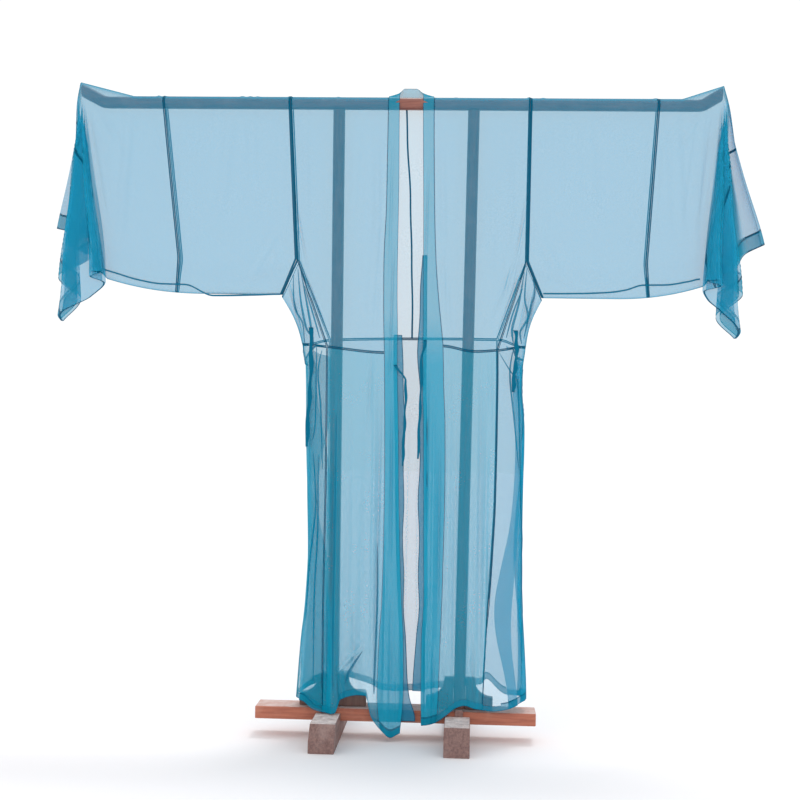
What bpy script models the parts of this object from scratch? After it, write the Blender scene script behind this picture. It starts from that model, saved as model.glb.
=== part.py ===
"""A sheer hanfu robe, hung open on the wooden T-rack that carries it.

Blender 4.5, metres, +Z up. The front of the robe faces -Y, its left sleeve as seen lies at -X.
The origin is on the floor, under the middle of the whole object.
Sizes in the tables are millimetres, and every mesh is scaled to metres when it is made.
"""
import math

import bmesh
import bpy
from mathutils import Matrix, Vector

MM = 0.001

# Cloth
WALL = 1.2              # thickness of each cloth wall
SEAM = 0.3              # gap between two pieces at a seam
WRAP = 12.6             # inner radius of the cloth where it lies over the beam
SLEEVE_DEPTH = 403.0    # from the beam's top to the underarm fold
FOLD_ROUND = 11.0       # half the width of the rounded underarm fold

# Rack
BEAM_Z = 1264.5
BEAM_R = 12.0
BEAM_SIDES = 16
POST_HALF = 11.5
POST_FOOT_Z = 60.3
RAIL = dict(low=35.7, high=60.0, half_depth=32.0, left=-280.0, right=274.0)
FOOT = dict(width=49.4, half_length=158.0, top=50.4, nose=22.8, setback=27.6)
WING = dict(reach=66.0, shoulder=31.0, height=122.0, toe=84.0, half_depth=10.0)

# One row for each end of the beam: where it bends up, and the middle of its tip
BEAM_ENDS = (
    dict(side=-1, bend_x=-615.0, tip_x=-662.0, rise=24.5),
    dict(side=1, bend_x=584.0, tip_x=623.0, rise=23.5),
)
# One row for each upright: its middle at the rail, at the beam, and its foot's middle
POSTS = (
    dict(name="left", low_x=-128.5, high_x=-138.0, foot_x=-134.5),
    dict(name="right", low_x=123.2, high_x=132.6, foot_x=120.5),
)

# One row for each sleeve. All x are distances from the robe's middle outwards.
# arm_top, arm_low and arm_end follow the armhole seam down, tip is the beam's end,
# seam is where the inner panel ends as a share of the way to the tip, and end_seam,
# cuff_seam and cuff_edge lie beyond the tip, measured along the cloth.
SLEEVES = {
    "left": dict(side=-1, arm_top=235, arm_low=216, arm_end=248, tip=664.5, tip_lean=9.0,
                 taut=555, top_rise=27.5, seam=0.60, end_seam=79, cuff_seam=268, cuff_edge=297),
    "right": dict(side=1, arm_top=244, arm_low=242, arm_end=275, tip=625.5, tip_lean=5.2,
                  taut=545, top_rise=26.5, seam=0.665, end_seam=120, cuff_seam=292, cuff_edge=321),
}
# How the cloth beyond the tip fans out: angle in the flat cloth from the top fold,
# and how far each ray from the tip leans outwards, in degrees
FANS = {
    "left": ((0, 9.5), (25, 6.4), (47, 3.6), (60, -0.8), (72, -5.0), (90, -9.0)),
    "right": ((0, 16.0), (15, 10.0), (29, 6.8), (48, 3.8), (66, -0.8), (90, -5.2)),
}
FAN_WAVES = 1.5         # folds of the fan between its two edges
FAN_SWING = 4.2         # degrees that each fold swings forwards and back

# The robe's edges, a row for each height. Columns are x.
COLUMNS = ("z", "left_side", "left_seam", "left_band", "left_edge",
           "right_edge", "right_band", "right_seam", "right_side", "depth")
BODY = (
    # z   l_side l_seam l_band l_edge r_edge r_band r_seam r_side depth
    (0,    -212, -146,  -30,    8,    50,    79,    168,   260,  44),
    (90,   -205, -146,  -38,   14,    48,    82,    170,   258,  43),
    (200,  -198, -147,  -36,   12,    47,    84,    174,   253,  40),
    (275,  -191, -148,  -32,    7,    50,    86,    178,   249,  37),
    (370,  -188, -148,  -31,    2,    48,    87,    183,   246,  34),
    (475,  -190, -148,  -31,   -2,    46,    88,    187,   244,  31),
    (620,  -194, -149,  -33,   -6,    43,    86,    188,   246,  28),
    (700,  -197, -150,  -35,   -9,    40,    82,    188,   240,  26),
    (780,  -203, -151,  -37,  -11,    39,    79,    187,   243,  24),
    (800,  -207, -151,  -38,  -11,    39,    77,    187,   247,  23.5),
    (870,  -226, -182,  -40,  -13,    38,    69,    216,   262,  21),
    (950,  -216, -216,  -41,  -14,    37,    62,    242,   242,  18),
    (1070, -229, -229,  -38,  -14,    35,    57,    243,   243,  15),
    (1280, -235, -235,  -38,  -16,    31,    53,    244,   244,  12.6),
)
# Waist seams and hems, a row for each place across the robe
WAIST_FRONT = ((-205, 779), (-151, 774), (-36, 764), (39, 772), (77, 779), (141, 769), (187, 772), (245, 780))
WAIST_BACK = ((-205, 779), (-151, 790), (-42, 794), (16, 795), (116, 796), (187, 796), (245, 780))
HEM_FRONT = ((-215, 76), (-185, 74), (-166, 58), (-134, 53), (-120, 54), (-108, 82), (-61, 88),
             (-49, 47), (-29, 23), (-9, 9), (3, 14), (27, 26), (50, 34), (79, 41), (98, 54),
             (118, 69), (134, 74), (166, 67), (194, 65), (222, 70), (260, 84))
HEM_BACK = ((-215, 76), (-150, 104), (-107, 106), (-57, 95), (-32, 81), (30, 85),
            (166, 101), (178, 112), (220, 82), (260, 84))
# The skirt's largest folds: middle at the waist and at the hem, half width, how far it
# stands out (minus) or falls back (plus) at the hem, and the height where it starts
FRONT_FOLDS = (
    dict(top=-112, low=-126, half=17, out=-12, start=420),
    dict(top=-62, low=-84, half=24, out=9, start=330),
    dict(top=-18, low=-20, half=22, out=-9, start=600),
    dict(top=60, low=64, half=24, out=-9, start=760),
    dict(top=112, low=116, half=18, out=4, start=520),
    dict(top=150, low=150, half=15, out=-7, start=640),
    dict(top=205, low=215, half=14, out=-8, start=500),
    dict(top=-176, low=-180, half=13, out=-8, start=700),
)
BACK_FOLDS = (
    dict(top=-105, low=-110, half=26, out=12, start=560),
    dict(top=-20, low=-30, half=30, out=10, start=640),
    dict(top=70, low=78, half=26, out=12, start=520),
    dict(top=140, low=140, half=22, out=10, start=600),
)
BACK_SEAM = ((780, 16), (1070, 8), (1280, -4))      # centre back seam: height, x
GUSSET_TOP = 950.0
GUSSET_CLEAR = 0.9      # and this far clear of the bodice, whose wall turns there
GUSSET_START = 0.02     # the gusset starts this share of its length clear of the sleeve
NECK_SEAM_Z = 1281.0
NECK_TOP_Z = 1300.0
NECK_BACK_Y = 17.0


# Helpers
def along(rows, key, column=1):
    """Reads a table at a key, on a smooth curve through its rows."""
    if key <= rows[0][0]:
        return rows[0][column]
    if key >= rows[-1][0]:
        return rows[-1][column]
    i = max(k for k in range(len(rows) - 1) if rows[k][0] <= key)
    step = rows[i + 1][0] - rows[i][0]
    t = (key - rows[i][0]) / step

    def slope(k):
        if k == 0 or k == len(rows) - 1:
            return 0.0
        before = (rows[k][column] - rows[k - 1][column]) / (rows[k][0] - rows[k - 1][0])
        after = (rows[k + 1][column] - rows[k][column]) / (rows[k + 1][0] - rows[k][0])
        if before * after <= 0:
            return 0.0
        return 2 * before * after / (before + after)

    a, b = rows[i][column], rows[i + 1][column]
    bend = (t**3 - 2 * t**2 + t) * slope(i) + (t**3 - t**2) * slope(i + 1)
    return a + (b - a) * (3 * t**2 - 2 * t**3) + bend * step


def body(column, z):
    return along(BODY, z, COLUMNS.index(column))


def ease(value, low, high):
    t = min(max((value - low) / (high - low), 0.0), 1.0)
    return t * t * (3 - 2 * t)


def mix(a, b, t):
    return a + (b - a) * t


MATERIALS = {}


def material(name, colour, roughness):
    if name not in MATERIALS:
        made = bpy.data.materials.new(name)
        made.use_nodes = True
        shader = made.node_tree.nodes["Principled BSDF"]
        shader.inputs["Base Color"].default_value = (*colour, 1.0)
        shader.inputs["Roughness"].default_value = roughness
        shader.inputs["Metallic"].default_value = 0.0
        made.diffuse_color = (*colour, 1.0)
        MATERIALS[name] = made
    return MATERIALS[name]


def gauze():
    return material("teal_gauze", (0.07, 0.36, 0.52), 0.7)


def beam_wood():
    return material("polished_wood", (0.36, 0.12, 0.07), 0.35)


def rack_wood():
    return material("worn_wood", (0.37, 0.21, 0.15), 0.6)


def add_object(name, bm, mat):
    for vert in bm.verts:
        vert.co *= MM
    mesh = bpy.data.meshes.new(name)
    bm.to_mesh(mesh)
    bm.free()
    mesh.materials.append(mat)
    made = bpy.data.objects.new(name, mesh)
    bpy.context.collection.objects.link(made)
    return made


def face_away(bm):
    """Turns a sheet so that its faces look away from the robe's middle plane."""
    bm.normal_update()
    outwards = sum(f.normal.y * f.calc_center_median().y * f.calc_area() for f in bm.faces)
    if outwards < 0:
        bmesh.ops.reverse_faces(bm, faces=bm.faces[:])


def sheet(name, point, across, down):
    """A cloth wall on point(u, v), with u from 0 to 1 across and v from 0 to 1 down."""
    bm = bmesh.new()
    bmesh.ops.create_grid(bm, x_segments=across, y_segments=down, size=0.5)
    for vert in bm.verts:
        vert.co = Vector(point(vert.co.x + 0.5, vert.co.y + 0.5))
    face_away(bm)
    made = add_object(name, bm, gauze())
    made.data.shade_smooth()
    wall = made.modifiers.new("wall", "SOLIDIFY")
    wall.thickness = WALL * MM
    wall.offset = 1.0
    wall.use_even_offset = True
    wall.thickness_clamp = 2.0
    return made


def tube_wall(name, point, stations, around, hand):
    """A cloth tube on point(station, u): an inner and an outer skin, joined at both open ends.

    The outer skin follows the surface's own normal, so that tubes meet evenly at their seams.
    """
    bm = bmesh.new()
    ring = bm.verts.layers.int.new("ring")
    last = len(stations) - 1
    for lift in (0.0, WALL):
        skin = bmesh.ops.create_grid(bm, x_segments=around, y_segments=last, size=0.5)["verts"]
        for vert in skin:
            u, k = vert.co.x + 0.5, round((vert.co.y + 0.5) * last)
            here = Vector(point(stations[k], u))
            along_u = Vector(point(stations[k], u + 0.004)) - Vector(point(stations[k], u - 0.004))
            out = Vector(point(stations[k] + 2, u)) - Vector(point(stations[k] - 2, u))
            vert.co = here + out.cross(along_u).normalized() * lift * hand
            vert[ring] = 1 if k == 0 else 2 if k == last else 0
    bmesh.ops.remove_doubles(bm, verts=bm.verts[:], dist=0.02)
    for mouth in (1, 2):
        rim = [e for e in bm.edges if e.is_boundary and all(v[ring] == mouth for v in e.verts)]
        bmesh.ops.bridge_loops(bm, edges=rim)
    bmesh.ops.recalc_face_normals(bm, faces=bm.faces[:])
    made = add_object(name, bm, gauze())
    made.data.shade_smooth()
    made.data.set_sharp_from_angle(angle=math.radians(50))


def block(name, outline, axis, low, high, mat, edge=1.2):
    """A flat outline of (a, b) points, run from low to high along x or y, with eased edges."""
    bm = bmesh.new()
    if axis == "x":
        corners = [bm.verts.new((low, a, b)) for a, b in outline]
        run = Vector((high - low, 0, 0))
    else:
        corners = [bm.verts.new((a, low, b)) for a, b in outline]
        run = Vector((0, high - low, 0))
    face = bm.faces.new(corners)
    swept = bmesh.ops.extrude_face_region(bm, geom=[face])
    moved = [g for g in swept["geom"] if isinstance(g, bmesh.types.BMVert)]
    bmesh.ops.translate(bm, verts=moved, vec=run)
    bmesh.ops.recalc_face_normals(bm, faces=bm.faces[:])
    sharp = [e for e in bm.edges if e.calc_face_angle(0.0) > math.radians(50)]
    bmesh.ops.bevel(bm, geom=sharp, offset=edge, offset_type="OFFSET", affect="EDGES",
                    segments=1, profile=0.5, material=-1, clamp_overlap=True)
    return add_object(name, bm, mat)


# Rack
def beam_axis(x):
    """Height of the beam's axis, which turns up at both ends."""
    for end in BEAM_ENDS:
        past = end["side"] * (x - end["bend_x"])
        slope = end["rise"] / abs(end["tip_x"] - end["bend_x"])
        if past > 8:
            return BEAM_Z + slope * past
        if past > -8:
            return BEAM_Z + slope * (past + 8) ** 2 / 32
    return BEAM_Z


def beam_slope(x):
    return (beam_axis(x + 0.5) - beam_axis(x - 0.5)) / 1.0


def make_beam():
    left, right = BEAM_ENDS
    stations = [left["tip_x"], left["bend_x"] - 9, left["bend_x"], left["bend_x"] + 9,
                right["bend_x"] - 9, right["bend_x"], right["bend_x"] + 9, right["tip_x"]]
    bm = bmesh.new()
    rings = []
    for x in stations:
        ring = bmesh.ops.create_circle(bm, segments=BEAM_SIDES, radius=BEAM_R)["verts"]
        stretch = math.sqrt(1 + beam_slope(x) ** 2)
        for vert in ring:
            vert.co = Vector((x, vert.co.x, beam_axis(x) + vert.co.y * stretch))
        rings.append(ring)
    for one, two in zip(rings, rings[1:]):
        edges = [e for ring in (one, two) for e in {e for v in ring for e in v.link_edges}
                 if all(v in ring for v in e.verts)]
        bmesh.ops.bridge_loops(bm, edges=list(set(edges)))
    bmesh.ops.holes_fill(bm, edges=bm.edges[:], sides=BEAM_SIDES)
    bmesh.ops.recalc_face_normals(bm, faces=bm.faces[:])
    made = add_object("beam", bm, beam_wood())
    made.data.shade_smooth()
    made.data.set_sharp_from_angle(angle=math.radians(40))


def make_post(row):
    """A round-cornered upright that leans very slightly outwards to the beam."""
    bm = bmesh.new()
    low = bmesh.ops.create_circle(bm, segments=16, radius=1.0, cap_ends=True)["verts"]
    for vert in low:
        angle = math.atan2(vert.co.y, vert.co.x)
        reach = POST_HALF / (abs(math.cos(angle)) ** 4 + abs(math.sin(angle)) ** 4) ** 0.25
        vert.co = Vector((math.cos(angle) * reach, math.sin(angle) * reach, POST_FOOT_Z))
    top = BEAM_Z - BEAM_R - SEAM
    swept = bmesh.ops.extrude_face_region(bm, geom=bm.faces[:])
    moved = [g for g in swept["geom"] if isinstance(g, bmesh.types.BMVert)]
    bmesh.ops.translate(bm, verts=moved, vec=(0, 0, top - POST_FOOT_Z))
    for vert in bm.verts:
        vert.co.x += post_x(row, vert.co.z)
    bmesh.ops.recalc_face_normals(bm, faces=bm.faces[:])
    made = add_object("upright_" + row["name"], bm, beam_wood())
    made.data.shade_smooth()
    made.data.set_sharp_from_angle(angle=math.radians(40))


def post_x(row, z):
    return mix(row["low_x"], row["high_x"], (z - POST_FOOT_Z) / (BEAM_Z - POST_FOOT_Z))


def make_wings(row):
    """Two boards that stand on the rail and brace the upright from both sides."""
    for side, name in ((-1, "outer" if row["name"] == "left" else "inner"),
                       (1, "inner" if row["name"] == "left" else "outer")):
        low, high = POST_FOOT_Z, WING["height"]
        near = POST_HALF + SEAM
        outline = [(near, low), (WING["reach"], low), (WING["reach"], WING["toe"])]
        for k in range(1, 6):
            turn = k / 6 * math.pi / 2
            outline.append((mix(WING["reach"], WING["shoulder"], math.sin(turn)),
                            mix(high - 9, WING["toe"], math.cos(turn))))
        outline += [(WING["shoulder"], high - 8), (WING["shoulder"] - 1, high), (near, high)]
        placed = [(post_x(row, z) + side * x, z) for x, z in outline]
        block("bracket_%s_%s" % (row["name"], name), placed, "y",
              -WING["half_depth"], WING["half_depth"], rack_wood(), edge=0.8)


def make_peg(row):
    bm = bmesh.new()
    turn = Matrix.Rotation(math.pi / 2, 4, "X")
    place = Matrix.Translation((post_x(row, 102), -POST_HALF - SEAM - 1.3, 102))
    bmesh.ops.create_cone(bm, cap_ends=True, segments=12, radius1=4.4, radius2=4.4, depth=2.4,
                          matrix=place @ turn)
    add_object("peg_" + row["name"], bm, rack_wood())


def make_foot(row):
    """A block across the rail, notched for it, with sloping noses front and back."""
    end, top = FOOT["half_length"], FOOT["top"]
    slope = end - FOOT["setback"]
    notch = RAIL["half_depth"] + SEAM
    outline = [(-end, 0), (-end, FOOT["nose"]), (-slope, top), (-notch, top),
               (-notch, RAIL["low"] - SEAM), (notch, RAIL["low"] - SEAM), (notch, top),
               (slope, top), (end, FOOT["nose"]), (end, 0)]
    half = FOOT["width"] / 2
    block("foot_" + row["name"], outline, "x", row["foot_x"] - half, row["foot_x"] + half,
          rack_wood(), edge=1.0)
    key_low, key_high = FOOT["top"] + SEAM, RAIL["high"] + 4
    front = -notch - 4.5
    shape = [(row["low_x"] - 8, key_low), (row["low_x"] + 8, key_low),
             (row["low_x"] + 8, key_high), (row["low_x"] - 8, key_high)]
    block("rail_key_" + row["name"], shape, "y", front, -notch, rack_wood(), edge=0.8)


def make_rack():
    make_beam()
    shape = [(-RAIL["half_depth"], RAIL["low"]), (RAIL["half_depth"], RAIL["low"]),
             (RAIL["half_depth"], RAIL["high"]), (-RAIL["half_depth"], RAIL["high"])]
    block("rail", shape, "x", RAIL["left"], RAIL["right"], rack_wood())
    for row in POSTS:
        make_post(row)
        make_wings(row)
        make_peg(row)
        make_foot(row)


# Sleeves
ARC_STEPS = 4           # steps from the beam's top to its side
WALL_STEPS = 16         # steps down each wall
FOLD_STEPS = 2          # steps round each half of the underarm fold
HALF_STEPS = ARC_STEPS + WALL_STEPS + FOLD_STEPS
WALL_LENGTH = SLEEVE_DEPTH - WRAP - FOLD_ROUND


def half_depth(run):
    """How far a sleeve wall stands from the middle, at a length down from the beam's side."""
    closing = 70.0
    swell = 2.5 * math.sin(math.pi * min(run / WALL_LENGTH, 1.0))
    wide = WRAP + swell
    shut = ease(run, WALL_LENGTH - closing, WALL_LENGTH)
    return mix(wide, FOLD_ROUND * 0.6, shut)


def station(u):
    """A place on the sleeve's loop, from the underarm fold up the back, over, and down the front.

    Gives the side (1 back, -1 front), the turn over the beam, the run down the wall,
    and the turn round the underarm fold.
    """
    place = (u % 1.0) * 2 * HALF_STEPS
    side = 1 if place <= HALF_STEPS else -1
    step = abs(place - HALF_STEPS)
    if step <= ARC_STEPS:
        return side, step / ARC_STEPS * math.pi / 2, 0.0, 0.0
    if step <= ARC_STEPS + WALL_STEPS:
        share = (step - ARC_STEPS) / WALL_STEPS
        return side, math.pi / 2, WALL_LENGTH * share ** 1.25, 0.0
    turn = (step - ARC_STEPS - WALL_STEPS) / FOLD_STEPS * math.pi / 2
    return side, math.pi / 2, WALL_LENGTH, turn


def loop_offset(u):
    """Depth y and drop of a place on the sleeve's loop, and the run down its wall."""
    side, over, run, under = station(u)
    if run == 0.0:
        return side * WRAP * math.sin(over), WRAP * (1 - math.cos(over)), 0.0
    half = half_depth(run)
    drop = WRAP + run + FOLD_ROUND * 0.6 * math.sin(under)
    return side * half * math.cos(under), drop, run


def top_line(row, x):
    """Top of the sleeve: on the beam, then a taut straight line up to the beam's tip."""
    flat = BEAM_Z + WRAP
    past = x - row["taut"]
    if past <= 0:
        return flat
    return flat + row["top_rise"] * past / (row["tip"] - row["taut"])


def arm_x(row, z):
    """The armhole seam's distance out, at a height."""
    if z >= GUSSET_TOP:
        share = (min(z, BEAM_Z) - GUSSET_TOP) / (BEAM_Z - GUSSET_TOP)
        return mix(row["arm_low"], row["arm_top"], share)
    low = BEAM_Z + WRAP - SLEEVE_DEPTH
    return mix(row["arm_end"], row["arm_low"], (z - low) / (GUSSET_TOP - low))


def sleeve_point(name, share, u):
    """A place on the sleeve up to the beam's tip, share 0 at the armhole and 1 at the tip."""
    row = SLEEVES[name]
    y, drop, run = loop_offset(u)
    top_x = mix(row["arm_top"], row["tip"], share)
    z = top_line(row, top_x) - drop
    lean = math.tan(math.radians(row["tip_lean"]))
    tip_x = row["tip"] - lean * max(drop - WRAP, 0.0)
    x = mix(arm_x(row, z), tip_x, share)
    return row["side"] * x, y, z


def fan_point(name, beyond, u):
    """A place on the cloth that falls from the beam's tip, at a flat distance beyond it."""
    row = SLEEVES[name]
    side, over, run, under = station(u)
    y, drop, run = loop_offset(u)
    reach = math.hypot(beyond, run)
    angle = 90.0 if reach < 0.01 else math.degrees(math.atan2(run, beyond))
    fold_in = ease(reach, 25.0, 190.0)
    lean = along(FANS[name], angle)
    lean = mix(mix(FANS[name][0][1], FANS[name][-1][1], angle / 90.0), lean, fold_in)
    swing = FAN_SWING * fold_in * math.sin(angle / 90.0 * FAN_WAVES * 2 * math.pi)
    lean, swing = math.radians(lean), math.radians(swing)
    x = row["tip"] + reach * math.sin(lean) * math.cos(swing)
    level = 1 - 0.85 * ease(beyond, 0.0, 60.0)
    z_edge = BEAM_Z + WRAP + row["top_rise"] - min(drop, WRAP) * level
    z = z_edge - reach * math.cos(lean) * math.cos(swing)
    z -= FOLD_ROUND * 0.6 * math.sin(under)
    return row["side"] * x, y + reach * math.sin(swing), z


def cloth_point(name, flat, u):
    """A place on the sleeve, by its distance from the armhole along the top of the flat cloth."""
    row = SLEEVES[name]
    reach = row["tip"] - row["arm_top"]
    if flat <= reach:
        return sleeve_point(name, flat / reach, u)
    return fan_point(name, flat - reach, u)


def make_sleeve(name):
    row = SLEEVES[name]
    gap = SEAM / 2
    tip = row["tip"] - row["arm_top"]
    seam, taut = row["seam"] * tip, row["taut"] - row["arm_top"]
    end, cuff, edge = (tip + row[key] for key in ("end_seam", "cuff_seam", "cuff_edge"))
    panels = {
        "sleeve_inner_": (gap, seam / 2, seam - gap),
        "sleeve_outer_": (seam + gap, taut, mix(taut, tip, 0.5), tip, tip + 9,
                          mix(tip, end, 0.35), mix(tip, end, 0.66), end - gap),
        "sleeve_end_": (end + gap, mix(end, cuff, 0.22), mix(end, cuff, 0.46), mix(end, cuff, 0.73), cuff - gap),
        "cuff_": (cuff + 2 * SEAM, edge),
    }
    for piece, stations in panels.items():
        tube_wall(piece + name, lambda flat, u: cloth_point(name, flat, u), stations,
                  2 * HALF_STEPS, -row["side"])


# Body
def folds(table, x, z):
    total = 0.0
    for row in table:
        grown = ease(row["start"] - z, 0.0, row["start"] - 60.0)
        middle = mix(row["low"], row["top"], z / 780.0)
        away = abs(x - middle) / row["half"]
        if away < 1.0:
            total += row["out"] * grown * math.cos(away * math.pi / 2) ** 2
    return total


def front_y(x, z):
    """Depth of the robe's front: on the beam's face at the top, further out below."""
    return -body("depth", z) + folds(FRONT_FOLDS, x, z)


def back_y(x, z):
    return body("depth", z) + folds(BACK_FOLDS, x, z)


def arm_fade(name, x, z):
    """Draws the body's wall to the sleeve's wall near the armhole."""
    edge = abs(body(name + "_side", z))
    above = ease(z, GUSSET_TOP - 150, GUSSET_TOP)
    return above * ease(abs(x), edge - 90, edge)


def arm_half(z):
    return half_depth(max(BEAM_Z - z, 0.0))


def bodice_y(name, side, x, z):
    plain = side * body("depth", z)
    return mix(plain, side * arm_half(z), arm_fade(name, x, z))


def gusset_seam(name, side, z):
    """Distance out of the seam between bodice and gusset, front (-1) or back (1), at a height."""
    seam = abs(body(name + "_seam", 780))
    sign = SLEEVES[name]["side"]
    low = along(WAIST_FRONT if side < 0 else WAIST_BACK, sign * seam)
    return mix(seam, SLEEVES[name]["arm_low"], (z - low) / (GUSSET_TOP - low))


def make_bodice(name):
    """One piece over the beam: the front down to its waist, and the back to the centre seam."""
    row = SLEEVES[name]
    sign = row["side"]
    down, over = 9, 8
    arm_rows = 5
    rows = 2 * down + over
    gap = SEAM / 2

    def outer_x(z, side=-1):
        if z >= GUSSET_TOP:
            return arm_x(row, z) - gap
        return gusset_seam(name, side, z) - gap

    def band_x(z):
        return sign * (abs(body(name + "_band", z)) + gap)

    def point(u, v):
        step = v * rows
        if step <= down:
            side, steps = -1, down - step
        elif step >= down + over:
            side, steps = 1, step - down - over
        else:
            turn = (step - down) / over * math.pi - math.pi / 2
            y, z = WRAP * math.sin(turn), BEAM_Z + WRAP * math.cos(turn)
            inner = band_x(z)
            x = mix(inner, sign * outer_x(BEAM_Z + WRAP), u)
            behind = max(turn, 0.0) / (math.pi / 2)
            if behind == 0.0:
                return x, y, z
            near = (1 - u) ** 6
            edge_x = mix(inner, sign * gap + along(BACK_SEAM, 1280), ease(behind, 0, 1))
            edge_y = NECK_BACK_Y * math.sin(behind * math.pi / 2)
            edge_z = mix(z, NECK_SEAM_Z, math.sin(behind * math.pi / 2) ** 0.5)
            x = mix(edge_x, sign * outer_x(BEAM_Z + WRAP), u)
            return x, mix(y, edge_y, near), mix(z, edge_z, near)
        z = 800.0
        for _ in range(4):
            inner_x = band_x(z) if side < 0 else along(BACK_SEAM, z) + sign * gap
            x = mix(inner_x, sign * outer_x(z, side), u)
            low = along(WAIST_FRONT if side < 0 else WAIST_BACK, x) + gap
            z = mix(GUSSET_TOP, low, (steps - arm_rows) / (down - arm_rows))
            if steps <= arm_rows:
                z = mix(BEAM_Z, GUSSET_TOP, steps / arm_rows)
        share = (BEAM_Z - z) / (BEAM_Z - low)
        y = bodice_y(name, side, x, z)
        if side > 0:
            near = (1 - u) ** 6 * (1 - ease(share, 0.0, 0.3))
            y = mix(y, max(y, NECK_BACK_Y), near)
            z = mix(z, mix(NECK_SEAM_Z, z, ease(share, 0.0, 0.16)), near)
        return x, y, z

    sheet("bodice_" + name, point, 8, rows)


def side_section(name, z, turn):
    """The skirt's side at a height: from its front seam, round the fold, to its back seam."""
    inner, outer = body(name + "_seam", z), body(name + "_side", z)
    seam_front, seam_back = front_y(inner, z), back_y(inner, z)
    x = inner + (outer - inner) * math.cos(turn) ** 0.6 if math.cos(turn) > 0 else inner
    sway = math.sin(turn)
    y = seam_front * max(-sway, 0) ** 0.8 + seam_back * max(sway, 0) ** 0.8
    y += folds(FRONT_FOLDS, x, z) * max(-sway, 0) * (1 - max(-sway, 0)) * 2
    return x, y


def side_waist(x, turn):
    """Height of the waist seam round the side fold."""
    return mix(along(WAIST_FRONT, x), along(WAIST_BACK, x), ease(turn, -0.6, 0.6))


def make_gusset(name):
    """The piece under the arm, folded front to back, between the sleeve, bodice and skirt."""
    row = SLEEVES[name]
    sign = row["side"]
    low = BEAM_Z + WRAP - SLEEVE_DEPTH

    def top(turn):
        share = abs(turn) / (math.pi / 2)
        z = mix(low + 1.0, GUSSET_TOP, share ** 1.6)
        half = arm_half(z)
        if z < low + FOLD_ROUND:
            half *= math.sqrt(max((z - low) / FOLD_ROUND, 0.02))
        return Vector((sign * (arm_x(row, z) - SEAM), math.copysign(half, turn), z))

    def bottom(turn):
        x, y = side_section(name, 785.0, turn)
        return Vector((x, y, side_waist(x, turn) + SEAM))

    def point(u, v):
        turn = (u - 0.5) * math.pi
        one, two = top(turn), bottom(turn)
        here = one.lerp(two, mix(GUSSET_START, 1.0, v))
        here.x -= sign * 6 * math.sin(math.pi * v) * math.cos(turn)
        side = math.copysign(1, turn)
        edge = bodice_y(name, side, sign * gusset_seam(name, side, here.z), here.z)
        here.y = mix(here.y, edge, abs(math.sin(turn)) ** 8)
        here.x += sign * GUSSET_CLEAR * abs(math.sin(turn)) ** 8
        return here

    sheet("gusset_" + name, point, 12, 6)


def hang(table_top, table_low, x, share):
    return mix(along(table_top, x) - SEAM, along(table_low, x), share)


def panel(name, left, right, wall_y, top, hem, across, down):
    """A hanging panel between two side lines, from its waist seam to its hem."""
    def point(u, v):
        z = 400.0
        for _ in range(4):
            x = mix(left(z), right(z), u)
            z = hang(top, hem, x, v)
        return x, wall_y(x, z), z

    return sheet(name, point, across, down)


def column(name, shift=0.0):
    return lambda z: body(name, z) + shift


def make_skirt():
    gap = SEAM / 2
    panel("skirt_front_left", column("left_seam", gap), column("left_band", -gap), front_y,
          WAIST_FRONT, HEM_FRONT, 10, 12)
    panel("skirt_front_right", column("right_band", gap), column("right_seam", -gap), front_y,
          WAIST_FRONT, HEM_FRONT, 10, 12)
    panel("skirt_back", column("left_seam", gap), column("right_seam", -gap), back_y,
          WAIST_BACK, HEM_BACK, 18, 10)
    for name, sign in (("left", -1), ("right", 1)):
        def point(u, v, name=name, sign=sign):
            turn = (u - 0.5) * math.pi
            z = 400.0
            for _ in range(4):
                x, y = side_section(name, z, turn)
                hem = mix(along(HEM_FRONT, x), along(HEM_BACK, x), ease(turn, -0.6, 0.6))
                z = mix(side_waist(x, turn) - SEAM, hem, v)
            return x + sign * SEAM, y, z

        sheet("skirt_side_" + name, point, 12, 12)


# Collar, facings and ties
def band_front(name, z, u):
    """A place on the front band: u 0 at its sewn edge and 1 at its free edge."""
    x = mix(body(name + "_band", z), body(name + "_edge", z), mix(0.025, 1.0, u))
    return x, front_y(x, z), z


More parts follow.
